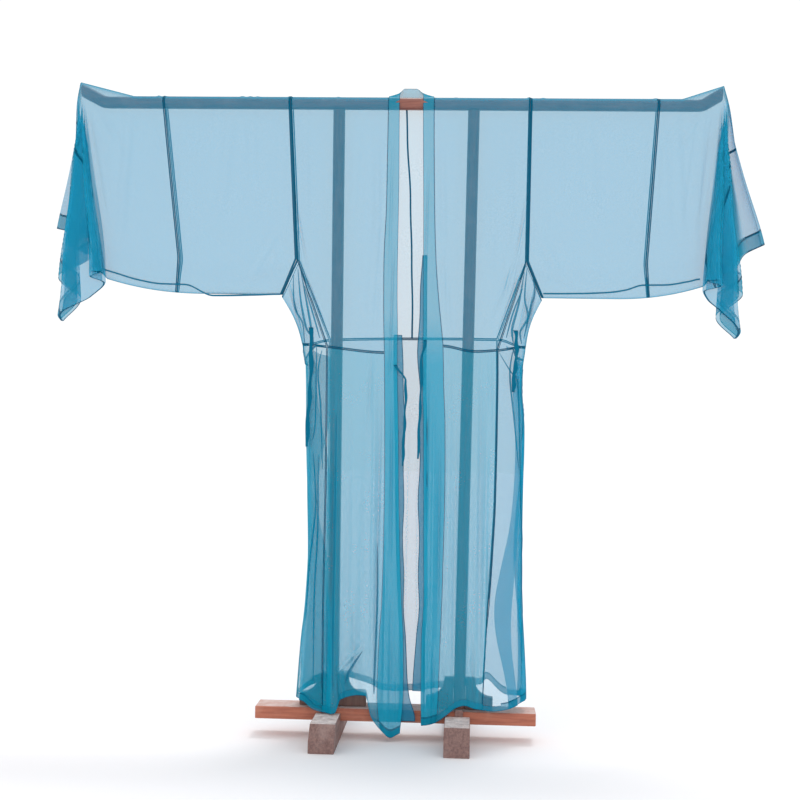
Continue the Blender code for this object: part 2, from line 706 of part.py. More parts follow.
def make_collar():
    """One long band: up the left front, over the beam, round the neck and down the right."""
    down, round_neck = 18, 12
    rows = 2 * down + round_neck

    def half(name, share, u):
        """share 0 at the hem, 1 at the beam's face."""
        low = along(HEM_FRONT, mix(body(name + "_band", 30), body(name + "_edge", 30), u))
        z = mix(low, BEAM_Z, share ** 0.9)
        return Vector(band_front(name, z, u))

    def neck(name, turn, u):
        """turn 0 at the beam's face, 1 at the middle of the back."""
        sewn_x = mix(body(name + "_band", BEAM_Z), along(BACK_SEAM, 1280), ease(turn, 0.35, 1.3))
        free_x = mix(body(name + "_edge", BEAM_Z), along(BACK_SEAM, 1280) + 4, ease(turn, 0.3, 1.4))
        angle = min(turn / 0.6, 1.0) * math.pi / 2 * 1.15 - math.pi / 2
        lift = WRAP + 0.9 * ease(turn, 0.1, 0.4) + 3.6 * turn
        sewn = Vector((sewn_x, lift * math.sin(angle), BEAM_Z + lift * max(math.cos(angle), 0.0)))
        if turn > 0.45:
            settle = ease(turn, 0.45, 0.8)
            sewn = sewn.lerp(Vector((sewn_x, NECK_BACK_Y - 0.5, NECK_SEAM_Z + 0.6)), settle)
        rise = ease(turn, 0.0, 0.65)
        ring = WRAP + 1.0 + 9 * rise
        free = Vector((free_x, ring * math.sin(angle) * 0.8, BEAM_Z + ring * max(math.cos(angle), 0.0)))
        free = free.lerp(Vector((free_x, NECK_BACK_Y + 0.5, NECK_TOP_Z)), ease(turn, 0.4, 0.85))
        return sewn.lerp(free, u)

    def point(u, v):
        step = v * rows
        if step <= down:
            return half("left", step / down, u)
        if step >= down + round_neck:
            return half("right", (rows - step) / down, u)
        turn = (step - down) / round_neck * 2
        if turn <= 1:
            return neck("left", turn, u)
        return neck("right", 2 - turn, u)

    sheet("collar_band", point, 3, rows)


def make_facing(name, low, high, reach):
    """The front edge folded back behind the band, which shows beside it in the gap."""
    sign = 1 if name == "left" else -1

    def point(u, v):
        z = mix(low, high, v)
        edge = body(name + "_edge", z)
        x = mix(edge - sign * 8, edge + sign * along(reach, z), u)
        behind = WALL + SEAM + 3 * u
        return x, front_y(edge, z) + behind, z

    sheet("facing_" + name, point, 2, 12)


def make_tie(name, x, y, high, low, sway, shift, lift):
    """A flat ribbon sewn on at its top, shift to the side, that hangs with a slight curve and turn."""
    width = 8.5

    def point(u, v):
        z = mix(high, low, v)
        sewn = 1 - ease(v, 0.0, 0.16)
        bend = sway * math.sin(v * 5.0) + shift * sewn
        twist = 0.5 * math.sin(v * 4.0)
        side = (u - 0.5) * width
        return x + bend + side * math.cos(twist), y(z) - mix(5.0, lift, sewn) + side * math.sin(twist), z

    sheet("tie_" + name, point, 1, 16)


def make_robe():
    for name in ("left", "right"):
        make_bodice(name)
        make_sleeve(name)
        make_gusset(name)
    make_skirt()
    make_collar()
    make_facing("left", 40, 800, ((40, 26), (92, 12), (200, 4), (475, 9), (671, 13), (800, 9)))
    make_facing("right", 100, 960, ((100, 18), (200, 10), (475, 10), (671, 6), (780, 10), (960, 3)))
    make_tie("side_left", -184, lambda z: front_y(-184, z), 812, 575, 2.5, 0, 0.85)
    make_tie("side_right", 222, lambda z: front_y(222, z), 812, 690, 2.5, 0, 0.8)
    make_tie("front_left", 6, lambda z: front_y(-14, z), 740, 541, 1.5, -20, 1.5)
    make_tie("front_right", 36, lambda z: front_y(44, z), 790, 555, 1.5, 8, 1.45)


for old in list(bpy.data.objects):
    bpy.data.objects.remove(old, do_unlink=True)
make_rack()
make_robe()
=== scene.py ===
# %% [markdown]
# A sheer hanfu robe on its wooden T-rack.
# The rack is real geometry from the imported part. The robe is made again here as thin cloth,
# on the same form as its solids, with its pleats, creases, seams and hems.
# Gauze is mostly holes, so the look is set by how many layers a line of sight crosses.

# %%
import math

import bmesh
import bpy
import numpy as np
from mathutils import Matrix, Vector
from mathutils.bvhtree import BVHTree


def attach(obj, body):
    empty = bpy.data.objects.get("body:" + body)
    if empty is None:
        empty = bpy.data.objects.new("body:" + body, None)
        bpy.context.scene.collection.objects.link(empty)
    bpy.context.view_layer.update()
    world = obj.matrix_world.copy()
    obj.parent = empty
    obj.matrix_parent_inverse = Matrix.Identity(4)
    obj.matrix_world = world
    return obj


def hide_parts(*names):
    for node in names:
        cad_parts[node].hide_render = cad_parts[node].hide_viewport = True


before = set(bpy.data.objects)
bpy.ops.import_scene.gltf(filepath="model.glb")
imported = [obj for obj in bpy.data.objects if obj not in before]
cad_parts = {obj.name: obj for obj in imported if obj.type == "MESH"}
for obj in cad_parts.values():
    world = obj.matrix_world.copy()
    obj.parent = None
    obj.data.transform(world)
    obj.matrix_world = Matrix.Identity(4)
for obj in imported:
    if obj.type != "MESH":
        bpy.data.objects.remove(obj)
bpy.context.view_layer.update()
MM = 0.001

# %% [markdown]
# The tables below are the robe's own sizes in millimetres, as its solids have them.
# Each is read on a smooth curve, so a few rows describe a whole edge.
# Sleeve distances run outwards from the robe's middle.

# %%
WRAP = 12.6             # inner radius of the cloth over the beam
SLEEVE_DEPTH = 403.0    # from the beam's top to the underarm fold
FOLD_ROUND = 6.6        # height of the rounded underarm fold
BEAM_Z = 1264.5
LIFT = 0.5              # the thin cloth lies this far out on the solid's wall
SLEEVES = {
    "left": dict(side=-1, arm_top=235, arm_low=216, arm_end=248, tip=664.5, tip_lean=9.0,
                 taut=555, top_rise=27.5, seam=0.60, end_seam=79, cuff_seam=268, cuff_edge=297),
    "right": dict(side=1, arm_top=244, arm_low=242, arm_end=275, tip=625.5, tip_lean=5.2,
                  taut=545, top_rise=26.5, seam=0.665, end_seam=120, cuff_seam=292, cuff_edge=321),
}
# How each hanging end is pleated: angle in the flat cloth at the tip, and the lean
# outwards at which it hangs. Each turn back is one fold of the bundle.
PLEATS = {
    "left": ((0, 9.5), (13.5, -4.0), (23, 5.5), (32.5, -3.6), (41.5, 5.2), (47.5, -0.4),
             (53.6, 4.2), (61.5, -4.0), (68.5, -8.2), (75, -4.8), (79, -8.0), (82, -5.6),
             (85.5, -8.4), (90, -9.0)),
    "right": ((0, 16.0), (13, 10.0), (25, 5.4), (33, -0.8), (39, 5.6), (45.5, -0.4),
              (51.5, 4.2), (59, 0.0), (64, -3.5), (69, -4.9), (74, -0.6), (78.5, -4.4),
              (82, -1.5), (85.5, -4.9), (90, -5.2)),
}
PLEAT_DEPTH = {"left": 27.0, "right": 34.0}    # the bundle reaches this far behind and before the beam
OUTER_SWING = {"left": 6.0, "right": 27.0}     # and the outermost lobe bows back by this much
BODY = dict(
    z=(0, 90, 200, 275, 370, 475, 620, 700, 780, 800, 870, 950, 1070, 1280),
    left_side=(-212, -205, -198, -191, -188, -190, -194, -197, -203, -207, -226, -216, -229, -235),
    left_seam=(-146, -146, -147, -148, -148, -148, -149, -150, -151, -151, -182, -216, -229, -235),
    left_band=(-30, -38, -36, -32, -31, -31, -33, -35, -37, -38, -40, -41, -38, -38),
    left_edge=(8, 14, 12, 7, 2, -2, -6, -9, -11, -11, -13, -14, -14, -16),
    right_edge=(50, 48, 47, 50, 48, 46, 43, 40, 39, 39, 38, 37, 35, 31),
    right_band=(79, 82, 84, 86, 87, 88, 86, 82, 79, 77, 69, 62, 57, 53),
    right_seam=(168, 170, 174, 178, 183, 187, 188, 188, 187, 187, 216, 242, 243, 244),
    right_side=(260, 258, 253, 249, 246, 244, 246, 240, 243, 247, 262, 242, 243, 244),
    depth=(44, 43, 40, 37, 34, 31, 28, 26, 24, 23.5, 21, 18, 15, 12.6),
)
WAIST_FRONT = ((-205, 779), (-151, 774), (-36, 764), (39, 772), (77, 779), (141, 769),
               (187, 772), (245, 780))
WAIST_BACK = ((-205, 779), (-151, 790), (-42, 794), (16, 795), (116, 796), (187, 796), (245, 780))
HEM_FRONT = ((-215, 76), (-185, 74), (-166, 58), (-134, 53), (-120, 54), (-108, 82), (-61, 88),
             (-49, 47), (-29, 23), (-9, 9), (3, 14), (27, 26), (50, 34), (79, 41), (98, 54),
             (118, 69), (134, 74), (166, 67), (194, 65), (222, 70), (260, 84))
HEM_BACK = ((-215, 76), (-150, 104), (-107, 106), (-57, 95), (-32, 81), (30, 85),
            (166, 101), (178, 112), (220, 82), (260, 84))
# Folds of the skirt: middle at waist and hem, half width, how far it stands out (minus)
# or falls back (plus) at the hem, and the height where it starts
FRONT_FOLDS = ((-112, -126, 17, -12, 420), (-62, -84, 24, 9, 330), (-18, -20, 22, -9, 600),
               (60, 64, 24, -9, 760), (112, 116, 18, 4, 520), (150, 150, 15, -7, 640),
               (205, 215, 14, -8, 500), (-176, -180, 13, -8, 700))
BACK_FOLDS = ((-105, -110, 26, 12, 560), (-20, -30, 30, 10, 640), (70, 78, 26, 12, 520),
              (140, 140, 22, 10, 600))
BACK_SEAM = ((780, 16), (1070, 8), (1280, -4))
GUSSET_TOP = 950.0
NECK_SEAM_Z = 1281.0
NECK_TOP_Z = 1300.0
NECK_BACK_Y = 17.0
WALL_LENGTH = SLEEVE_DEPTH - WRAP - 11.0
SEAM_GAP = 0.15         # each panel of the body stops this far from its seam line


def along(rows, key, column=1):
    """Reads a table at a key, on a smooth curve through its rows."""
    if key <= rows[0][0]:
        return rows[0][column]
    if key >= rows[-1][0]:
        return rows[-1][column]
    i = max(k for k in range(len(rows) - 1) if rows[k][0] <= key)
    step = rows[i + 1][0] - rows[i][0]
    t = (key - rows[i][0]) / step

    def slope(k):
        if k == 0 or k == len(rows) - 1:
            return 0.0
        before = (rows[k][column] - rows[k - 1][column]) / (rows[k][0] - rows[k - 1][0])
        after = (rows[k + 1][column] - rows[k][column]) / (rows[k + 1][0] - rows[k][0])
        if before * after <= 0:
            return 0.0
        return 2 * before * after / (before + after)

    a, b = rows[i][column], rows[i + 1][column]
    bend = (t**3 - 2 * t**2 + t) * slope(i) + (t**3 - t**2) * slope(i + 1)
    return a + (b - a) * (3 * t**2 - 2 * t**3) + bend * step


EDGES = {key: tuple(zip(BODY["z"], BODY[key])) for key in BODY if key != "z"}
CACHE = {}


def body(key, z):
    """An edge of the robe's body at a height, remembered for each tenth of a millimetre."""
    place = (key, round(z * 10))
    if place not in CACHE:
        CACHE[place] = along(EDGES[key], z)
    return CACHE[place]


def ease(value, low, high):
    t = min(max((value - low) / (high - low), 0.0), 1.0)
    return t * t * (3 - 2 * t)


def mix(a, b, t):
    return a + (b - a) * t


# %% [markdown]
# A crease is a soft trough or ridge along a short line, deepest in the middle and
# fading out at both ends. Each row gives the line's two ends, its half width and
# how far it stands out (minus) or falls back (plus).

# %%
def creases(rows, x, z):
    total = 0.0
    for x0, z0, x1, z1, half, out in rows:
        run_x, run_z = x1 - x0, z1 - z0
        if abs(z - (z0 + z1) / 2) > abs(run_z) / 2 + half:
            continue
        if abs(x - (x0 + x1) / 2) > abs(run_x) / 2 + half:
            continue
        length = math.hypot(run_x, run_z)
        t = ((x - x0) * run_x + (z - z0) * run_z) / length ** 2
        away = abs((x - x0) * run_z - (z - z0) * run_x) / length / half
        if 0 < t < 1 and away < 1:
            total += out * math.cos(away * math.pi / 2) ** 2 * math.sin(math.pi * t) ** 0.7
    return total


def folds(table, x, z):
    total = 0.0
    for top, low, half, out, start in table:
        away = abs(x - mix(low, top, z / 780.0)) / half
        if away < 1.0 and z < start:
            total += out * ease(start - z, 0.0, start - 60.0) * math.cos(away * math.pi / 2) ** 2
    return total


PIECES = {}
HEM = 10.0              # an allowance from this width on is a hem


def lay(bm, point, across, down, rims):
    """Adds one grid on point(u, v) to a mesh, with its two maps.

    The first map holds lengths along the cloth in metres, for the weave. The second holds
    the distance to the nearest edge as a share of that edge's allowance: above 0 for a
    seam, below 0 for a hem, and 9 where there is none.
    """
    grid = np.array([[tuple(point(i / across, j / down)) for i in range(across + 1)]
                     for j in range(down + 1)]) * MM
    runs, rim = [], []
    for axis, ends in ((1, rims[:2]), (0, rims[2:])):
        steps = np.linalg.norm(np.diff(grid, axis=axis), axis=2)
        pad = [(0, 0), (0, 0)]
        pad[axis] = (1, 0)
        run = np.cumsum(np.pad(steps, pad), axis=axis)
        share = np.full(run.shape, 9.0)
        for width, away in zip(ends, (run, run.max(axis=axis, keepdims=True) - run)):
            if width >= HEM:
                near = away / (width * MM)
                share = np.minimum(share, np.where(near < 1, -near - 0.001, 9.0))
            elif width:
                share = np.minimum(share, away / (width * MM))
        runs.append(run)
        rim.append(share)
    weave, edge = (bm.loops.layers.uv.get(key) or bm.loops.layers.uv.new(key) for key in ("weave", "rim"))
    known = set(bm.faces)
    made = bmesh.ops.create_grid(bm, x_segments=across, y_segments=down, size=0.5)["verts"]
    place = {}
    for vert in made:
        i, j = round((vert.co.x + 0.5) * across), round((vert.co.y + 0.5) * down)
        place[vert] = (j, i)
        vert.co = Vector(grid[j, i])
    for face in bm.faces:
        if face in known:
            continue
        face.smooth = True
        for loop in face.loops:
            at = place[loop.vert]
            loop[weave].uv = (runs[0][at], runs[1][at])
            loop[edge].uv = (rim[0][at], rim[1][at])


def cloth(name, points, across, down, rims, material, node=None):
    """A thin sheet on point(u, v), or several in one mesh. Rims are the widths in mm of its
    allowance on the left, right, top and bottom edge, and zero where there is none."""
    bm = bmesh.new()
    for point in points if isinstance(points, list) else [points]:
        lay(bm, point, across, down, rims)
    mesh = bpy.data.meshes.new(name)
    bm.to_mesh(mesh)
    area = sum(f.calc_area() for f in bm.faces)
    bm.free()
    mesh.materials.append(material)
    piece = bpy.data.objects.new("cloth_" + name, mesh)
    bpy.context.collection.objects.link(piece)
    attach(piece, "root")
    if node != "":
        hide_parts(node or name)
    PIECES[name] = piece
    piece["cm2"] = round(area * 1e4)
    print("%-20s %6d faces %6d cm2" % (name, len(mesh.polygons), area * 1e4))


# %% [markdown]
# Colours are written as they look on a screen and turned to linear light once, here.
# One small function adds a node with its settings and its links, so each material
# below reads as a list of what feeds what.

# %%
def linear(hex_colour):
    parts = [int(hex_colour[i:i + 2], 16) / 255 for i in (1, 3, 5)]
    return tuple(c / 12.92 if c <= 0.04045 else ((c + 0.055) / 1.055) ** 2.4 for c in parts) + (1.0,)


def add(tree, kind, inputs=(), **settings):
    """Adds a node. Inputs hold a value, or the socket that feeds them."""
    node = tree.nodes.new("ShaderNode" + kind)
    for key, value in settings.items():
        setattr(node, key, value)
    for key, value in dict(inputs).items():
        if isinstance(value, bpy.types.NodeSocket):
            tree.links.new(value, node.inputs[key])
        else:
            node.inputs[key].default_value = value
    return node


def new_material(name):
    made = bpy.data.materials.new(name)
    made.use_nodes = True
    tree = made.node_tree
    tree.nodes.clear()
    return made, tree


def math_node(tree, operation, *values, clamp=False):
    return add(tree, "Math", enumerate(values), operation=operation, use_clamp=clamp).outputs[0]


# Seams are a darker teal of tightly folded cloth. The slant colour is partly the cloth's denser look
# edge-on and partly painted shade along the edges of folds
SEAM_COLOUR, SLANT_DEPTH_AND_SHADE_COLOUR = "#005876", "#106C82"


def gauze(name, cover, colour, edge_cover=0.96, grain=0.035, low_cover=None):
    """Sheer cloth: cover is how much of the light one layer stops, seen straight on.

    A layer seen at a slant is crossed by a longer path, so it stops more. A hem is two
    layers. A seam and the sewn lines of a hem are folded tight and stop edge_cover. A
    piece that is doubled below the waist stops low_cover there.
    """
    made, tree = new_material(name)
    weave = add(tree, "UVMap", uv_map="weave").outputs[0]
    rim = add(tree, "SeparateXYZ", [(0, add(tree, "UVMap", uv_map="rim").outputs[0])])
    nearest = math_node(tree, "MINIMUM", rim.outputs[0], rim.outputs[1])
    hem = math_node(tree, "MULTIPLY", math_node(tree, "LESS_THAN", nearest, -0.07),
                    math_node(tree, "GREATER_THAN", nearest, -0.88))
    seam = math_node(tree, "SUBTRACT", math_node(tree, "LESS_THAN", nearest, 1.0), hem)
    fine = add(tree, "TexNoise", {"Vector": weave, "Scale": 330.0, "Detail": 1.0}).outputs[0]
    broad = add(tree, "TexNoise", {"Vector": weave, "Scale": 11.0, "Detail": 2.0}).outputs[0]
    patch = add(tree, "MapRange", {"Value": broad, "From Min": 0.46, "From Max": 0.66,
                                   "To Min": 0.12, "To Max": 1.0}).outputs[0]
    speck = math_node(tree, "MULTIPLY", math_node(tree, "SUBTRACT", fine, 0.5), patch)
    if low_cover:
        height = add(tree, "SeparateXYZ", [(0, add(tree, "TexCoord").outputs["Object"])]).outputs[2]
        cover = add(tree, "MapRange", {"Value": height, "From Min": 0.74, "From Max": 0.84,
                                       "To Min": low_cover, "To Max": cover}).outputs[0]
    one = math_node(tree, "MULTIPLY_ADD", speck, grain * 8, cover)
    let_by = math_node(tree, "POWER", math_node(tree, "SUBTRACT", 1.0, one), 2.6)
    twice = math_node(tree, "SUBTRACT", 1.0, let_by)
    here = add(tree, "Mix", {"Factor": hem, "A": one, "B": twice}).outputs[0]
    here = add(tree, "Mix", {"Factor": seam, "A": here, "B": edge_cover}).outputs[0]
    facing = add(tree, "LayerWeight", {"Blend": 0.5}).outputs["Facing"]
    cosine = math_node(tree, "MAXIMUM", math_node(tree, "SUBTRACT", 1.0, facing), 0.22)
    through = math_node(tree, "POWER", math_node(tree, "SUBTRACT", 1.0, here),
                        math_node(tree, "DIVIDE", 1.0, cosine))
    alpha = math_node(tree, "SUBTRACT", 1.0, through, clamp=True)
    dark = math_node(tree, "MULTIPLY_ADD", hem, 0.45, seam, clamp=True)
    shade = add(tree, "Mix", {"Factor": dark, "A": linear(colour), "B": linear(SEAM_COLOUR)},
                data_type="RGBA").outputs[2]
    # Where the cloth is seen edge-on, its colour is drawn towards a deeper teal. This is partly the denser
    # look of cloth at a slant and partly painted shade that darkens the edges of folds
    slant = add(tree, "MapRange", {"Value": facing, "From Min": 0.34, "From Max": 0.85,
                                   "To Min": 0.0, "To Max": 0.7}).outputs[0]
    shade = add(tree, "Mix", {"Factor": slant, "A": shade, "B": linear(SLANT_DEPTH_AND_SHADE_COLOUR)},
                data_type="RGBA").outputs[2]
    shader = add(tree, "BsdfPrincipled", {"Base Color": shade, "Roughness": 0.65,
                                          "Alpha": alpha, "Specular IOR Level": 0.05})
    add(tree, "OutputMaterial", {"Surface": shader.outputs[0]})
    return made


SHEER = gauze("teal_gauze", 0.39, "#22AAD2")
SIDE = {"left": gauze("teal_gauze_side_left", 0.33, "#12AACC"),
        "right": gauze("teal_gauze_side_right", 0.4, "#10A8D0")}
SKIRT = gauze("teal_gauze_skirt", 0.51, "#00AACE", grain=0.028)
BACK = gauze("teal_gauze_back", 0.44, "#0CACD4", grain=0.028)
DOUBLE = gauze("teal_gauze_double", 0.62, "#169EC0", edge_cover=0.94, low_cover=0.86)
RAW = gauze("teal_gauze_reverse", 0.8, "#1F84A8", edge_cover=0.92, grain=0.08)
CORD = gauze("teal_gauze_cord", 0.95, "#076C8C")
FOLDED = gauze("teal_gauze_folded", 0.8, "#087C9E")

# %% [markdown]
# Each sleeve is a tube of two walls, folded over the beam at the top and closed by a
# rounded fold at the bottom. Up to the beam's tip it hangs flat. Beyond the tip
# nothing carries it, so every line of cloth from the tip swings down, and a quarter
# turn of flat cloth has to fit into a few degrees: it pleats.

# %%
ARC_STEPS, WALL_STEPS, FOLD_STEPS = 4, 16, 2
HALF_STEPS = ARC_STEPS + WALL_STEPS + FOLD_STEPS
AROUND = 176
NEST = 0.5              # degrees between the two layers within a pleat
SLEEVE_CREASES = {
    "left": ((-655, 1275, -622, 940, 6, -4), (-648, 1260, -600, 1010, 5, 3),
             (-640, 1275, -560, 1150, 9, 2.5), (-236, 935, -330, 895, 6, 3),
             (-244, 1000, -300, 905, 8, -2.5), (-480, 930, -600, 925, 5, -2),
             (-470, 1240, -455, 1000, 7, 1.5), (-352, 1250, -372, 1020, 14, 2),
             (-300, 1250, -290, 1080, 12, -2), (-560, 1250, -575, 980, 14, 2.5)),
    "right": ((616, 1275, 600, 930, 6, -4), (606, 1268, 575, 1000, 6, 3),
              (596, 1275, 530, 1160, 9, 2.5), (262, 935, 350, 896, 6, 3),
              (268, 1000, 320, 905, 8, -2.5), (500, 935, 590, 925, 5, -2),
              (510, 1240, 500, 1000, 7, 1.5), (372, 1250, 392, 1020, 14, 2),
              (310, 1250, 300, 1080, 12, -2), (545, 1250, 560, 990, 14, 2.5)),
}
# Small wrinkles across the top of the beam: x and height
TOP_WRINKLES = ((-334, 1.8), (-318, 1.5), (-303, 1.2), (-237, 2.2), (-505, 1.8), (-492, 1.2),
                (242, 2.4), (270, 1.2), (492, 1.6), (-140, 0.9), (96, 0.8))


def top_bump(x):
    return sum(high * math.exp(-((x - at) / 3.2) ** 2) for at, high in TOP_WRINKLES)


def half_depth(run):
    """How far a sleeve wall stands from the middle, at a length down from the beam's side."""
    wide = WRAP + 2.5 * math.sin(math.pi * min(run / WALL_LENGTH, 1.0))
    return mix(wide, FOLD_ROUND, ease(run, WALL_LENGTH - 70.0, WALL_LENGTH))


def station(u):
    """Side, turn over the beam, run down the wall and turn round the underarm fold."""
    place = (u % 1.0) * 2 * HALF_STEPS
    side = 1 if place <= HALF_STEPS else -1
    step = abs(place - HALF_STEPS)
    if step <= ARC_STEPS:
        return side, step / ARC_STEPS * math.pi / 2, 0.0, 0.0
    if step <= ARC_STEPS + WALL_STEPS:
        return side, math.pi / 2, WALL_LENGTH * ((step - ARC_STEPS) / WALL_STEPS) ** 1.25, 0.0
    return side, math.pi / 2, WALL_LENGTH, (step - ARC_STEPS - WALL_STEPS) / FOLD_STEPS * math.pi / 2


def loop_offset(u):
    side, over, run, under = station(u)
    if run == 0.0:
        return side * (WRAP + LIFT) * math.sin(over), WRAP - (WRAP + LIFT) * math.cos(over), 0.0
    drop = WRAP + run + FOLD_ROUND * math.sin(under)
    return side * (half_depth(run) + LIFT) * math.cos(under), drop, run


def arm_x(row, z):
    if z >= GUSSET_TOP:
        share = (min(z, BEAM_Z) - GUSSET_TOP) / (BEAM_Z - GUSSET_TOP)
        return mix(row["arm_low"], row["arm_top"], share)
    low = BEAM_Z + WRAP - SLEEVE_DEPTH
    return mix(row["arm_end"], row["arm_low"], (z - low) / (GUSSET_TOP - low))


def sleeve_point(name, share, u):
    """A place on the sleeve up to the beam's tip, share 0 at the armhole and 1 at the tip."""
    row = SLEEVES[name]
    y, drop, run = loop_offset(u)
    top_x = mix(row["arm_top"], row["tip"], share)
    taut = max(top_x - row["taut"], 0) / (row["tip"] - row["taut"])
    soft = max(top_x - row["taut"] + 130, 0) / (row["tip"] - row["taut"] + 130)
    z = BEAM_Z + WRAP + row["top_rise"] * mix(taut, soft ** 2.2, ease(run, 0.0, 250.0)) - drop
    tip_x = row["tip"] - math.tan(math.radians(row["tip_lean"])) * max(drop - WRAP, 0.0)
    x = row["side"] * mix(arm_x(row, z), tip_x, share)
    if run == 0.0:
        z += top_bump(x) * max(1 - drop / WRAP, 0.0)
    elif y < 0:
        y += creases(SLEEVE_CREASES[name], x, z)
    else:
        y += 0.7 * creases(SLEEVE_CREASES[name], x + 23, z - 12)
    return x, y, z


def pleat_point(name, beyond, u):
    """A place on the cloth that falls from the beam's tip, at a flat distance beyond it."""
    row = SLEEVES[name]
    rays = PLEATS[name]
    side, over, _, under = station(u)
    y, drop, run = loop_offset(u)
    reach = math.hypot(beyond, run)
    angle = 90.0 if reach < 0.01 else math.degrees(math.atan2(run, beyond))
    grown = ease(reach, 12.0, 130.0)
    nested = ease(reach, 25.0, 150.0) * (1 - ease(angle, 85.5, 90.0))
    lean = mix(mix(rays[0][1], rays[-1][1], angle / 90.0), along(rays, angle), grown)
    lean += side * NEST * nested * math.sin(over) * math.cos(under)
    lean += 0.35 * grown * math.sin(reach / 37.0 + angle / 9.0)
    path = 1 - 2 * angle / 85.5 if angle < 85.5 else (angle - 85.5) / 4.5 - 1
    depth = PLEAT_DEPTH[name] * grown * path + 2.0 * grown * math.sin(reach / 52.0 + angle / 5.0)
    depth += OUTER_SWING[name] * grown * math.sin(min(angle / 26.0, 1.0) * math.pi)
    lean = math.radians(lean)
    level = 1 - 0.85 * ease(beyond, 0.0, 60.0)
    top = BEAM_Z + WRAP + row["top_rise"] - min(drop, WRAP) * level
    z = top - reach * math.cos(lean) - FOLD_ROUND * math.sin(under) * (1 - 0.6 * nested)
    return row["side"] * (row["tip"] + reach * math.sin(lean)), y * (1 - nested) + depth, z


def spread(*stops):
    """Stations from stops and counts in turn: start, count, next stop, count, and so on."""
    line = [stops[0]]
    for count, stop in zip(stops[1::2], stops[2::2]):
        start = line[-1]
        line += [start + (stop - start) * (k + 1) / count for k in range(count)]
    return line


for name, row in SLEEVES.items():
    reach = row["tip"] - row["arm_top"]
    seam = row["seam"] * reach
    end, cuff, edge = (row[key] for key in ("end_seam", "cuff_seam", "cuff_edge"))
    panels = (
        ("sleeve_inner_", spread(0.3, 64, seam - 0.2), SHEER, (1.8, 1.8, 4.4, 2.6)),
        ("sleeve_outer_", spread(seam + 0.2, 44, reach, 26, reach + end), SHEER, (1.8, 1.8, 2.6, 2.0)),
        ("sleeve_end_", spread(reach + end + 0.3, 48, reach + cuff), SHEER, (1.8, 1.8, 2.0, 1.6)),
        ("cuff_", spread(reach + cuff + 0.3, 10, reach + edge), DOUBLE, (2.6, 2.6, 1.6, 1.6)),
    )
    for piece, flats, material, rims in panels:
        def point(u, v, name=name, flats=flats, reach=reach):
            flat = flats[round(v * (len(flats) - 1))]
            if flat <= reach:
                return sleeve_point(name, flat / reach, u)
            return pleat_point(name, flat - reach, u)

        cloth(piece + name, point, AROUND, len(flats) - 1, rims, material)

# %% [markdown]
# The body hangs from the beam in two halves that meet in the centre back seam. Its
# front and back walls drift apart below the waist, where the skirt is fuller.
# The cloth is pulled towards the armpits, so creases fan out from there.

# %%
BODICE_CREASES = (
    (-214, 946, -176, 830, 4, -6), (-212, 950, -150, 800, 3.5, 6), (-208, 958, -186, 850, 4, -5),
    (-222, 1040, -190, 900, 5, -5), (-226, 1090, -196, 930, 5, 4.5), (-60, 1240, -52, 860, 10, 3),
    (-84, 1235, -96, 1000, 12, -2), (-206, 1245, -196, 1010, 9, 2), (-48, 1020, -58, 790, 7, -3),
    (238, 946, 208, 830, 4, -6), (236, 950, 186, 800, 3.5, 6), (232, 958, 218, 850, 4, -5),
    (240, 1040, 212, 900, 5, -5), (242, 1090, 218, 930, 5, 4.5), (68, 1230, 82, 860, 10, 3),
    (116, 1235, 108, 1010, 12, -2), (214, 1245, 208, 1010, 9, 2), (78, 1000, 92, 795, 7, -3),
    (176, 1200, 172, 900, 10, -2), (-110, 960, -114, 785, 8, -2),
)
# Steps of a bodice half: down each wall, over the beam, and from the beam to the gusset
BODICE_DOWN, BODICE_OVER, BODICE_ARM = 9, 8, 5
BODICE_ROWS = 2 * BODICE_DOWN + BODICE_OVER


def front_y(x, z):
    return -body("depth", z) - LIFT + folds(FRONT_FOLDS, x, z)


def back_y(x, z):
    return body("depth", z) + LIFT + folds(BACK_FOLDS, x, z)


def bodice_y(name, side, x, z):
    """The body's own depth, drawn to the sleeve's wall near the armhole."""
    edge = abs(body(name + "_side", z))
    fade = ease(z, GUSSET_TOP - 150, GUSSET_TOP) * ease(abs(x), edge - 90, edge)
    return mix(side * body("depth", z), side * half_depth(max(BEAM_Z - z, 0.0)), fade) + side * LIFT


def gusset_seam(name, side, z):
    seam = abs(body(name + "_seam", 780))
    low = along(WAIST_FRONT if side < 0 else WAIST_BACK, SLEEVES[name]["side"] * seam)
    return mix(seam, SLEEVES[name]["arm_low"], (z - low) / (GUSSET_TOP - low))


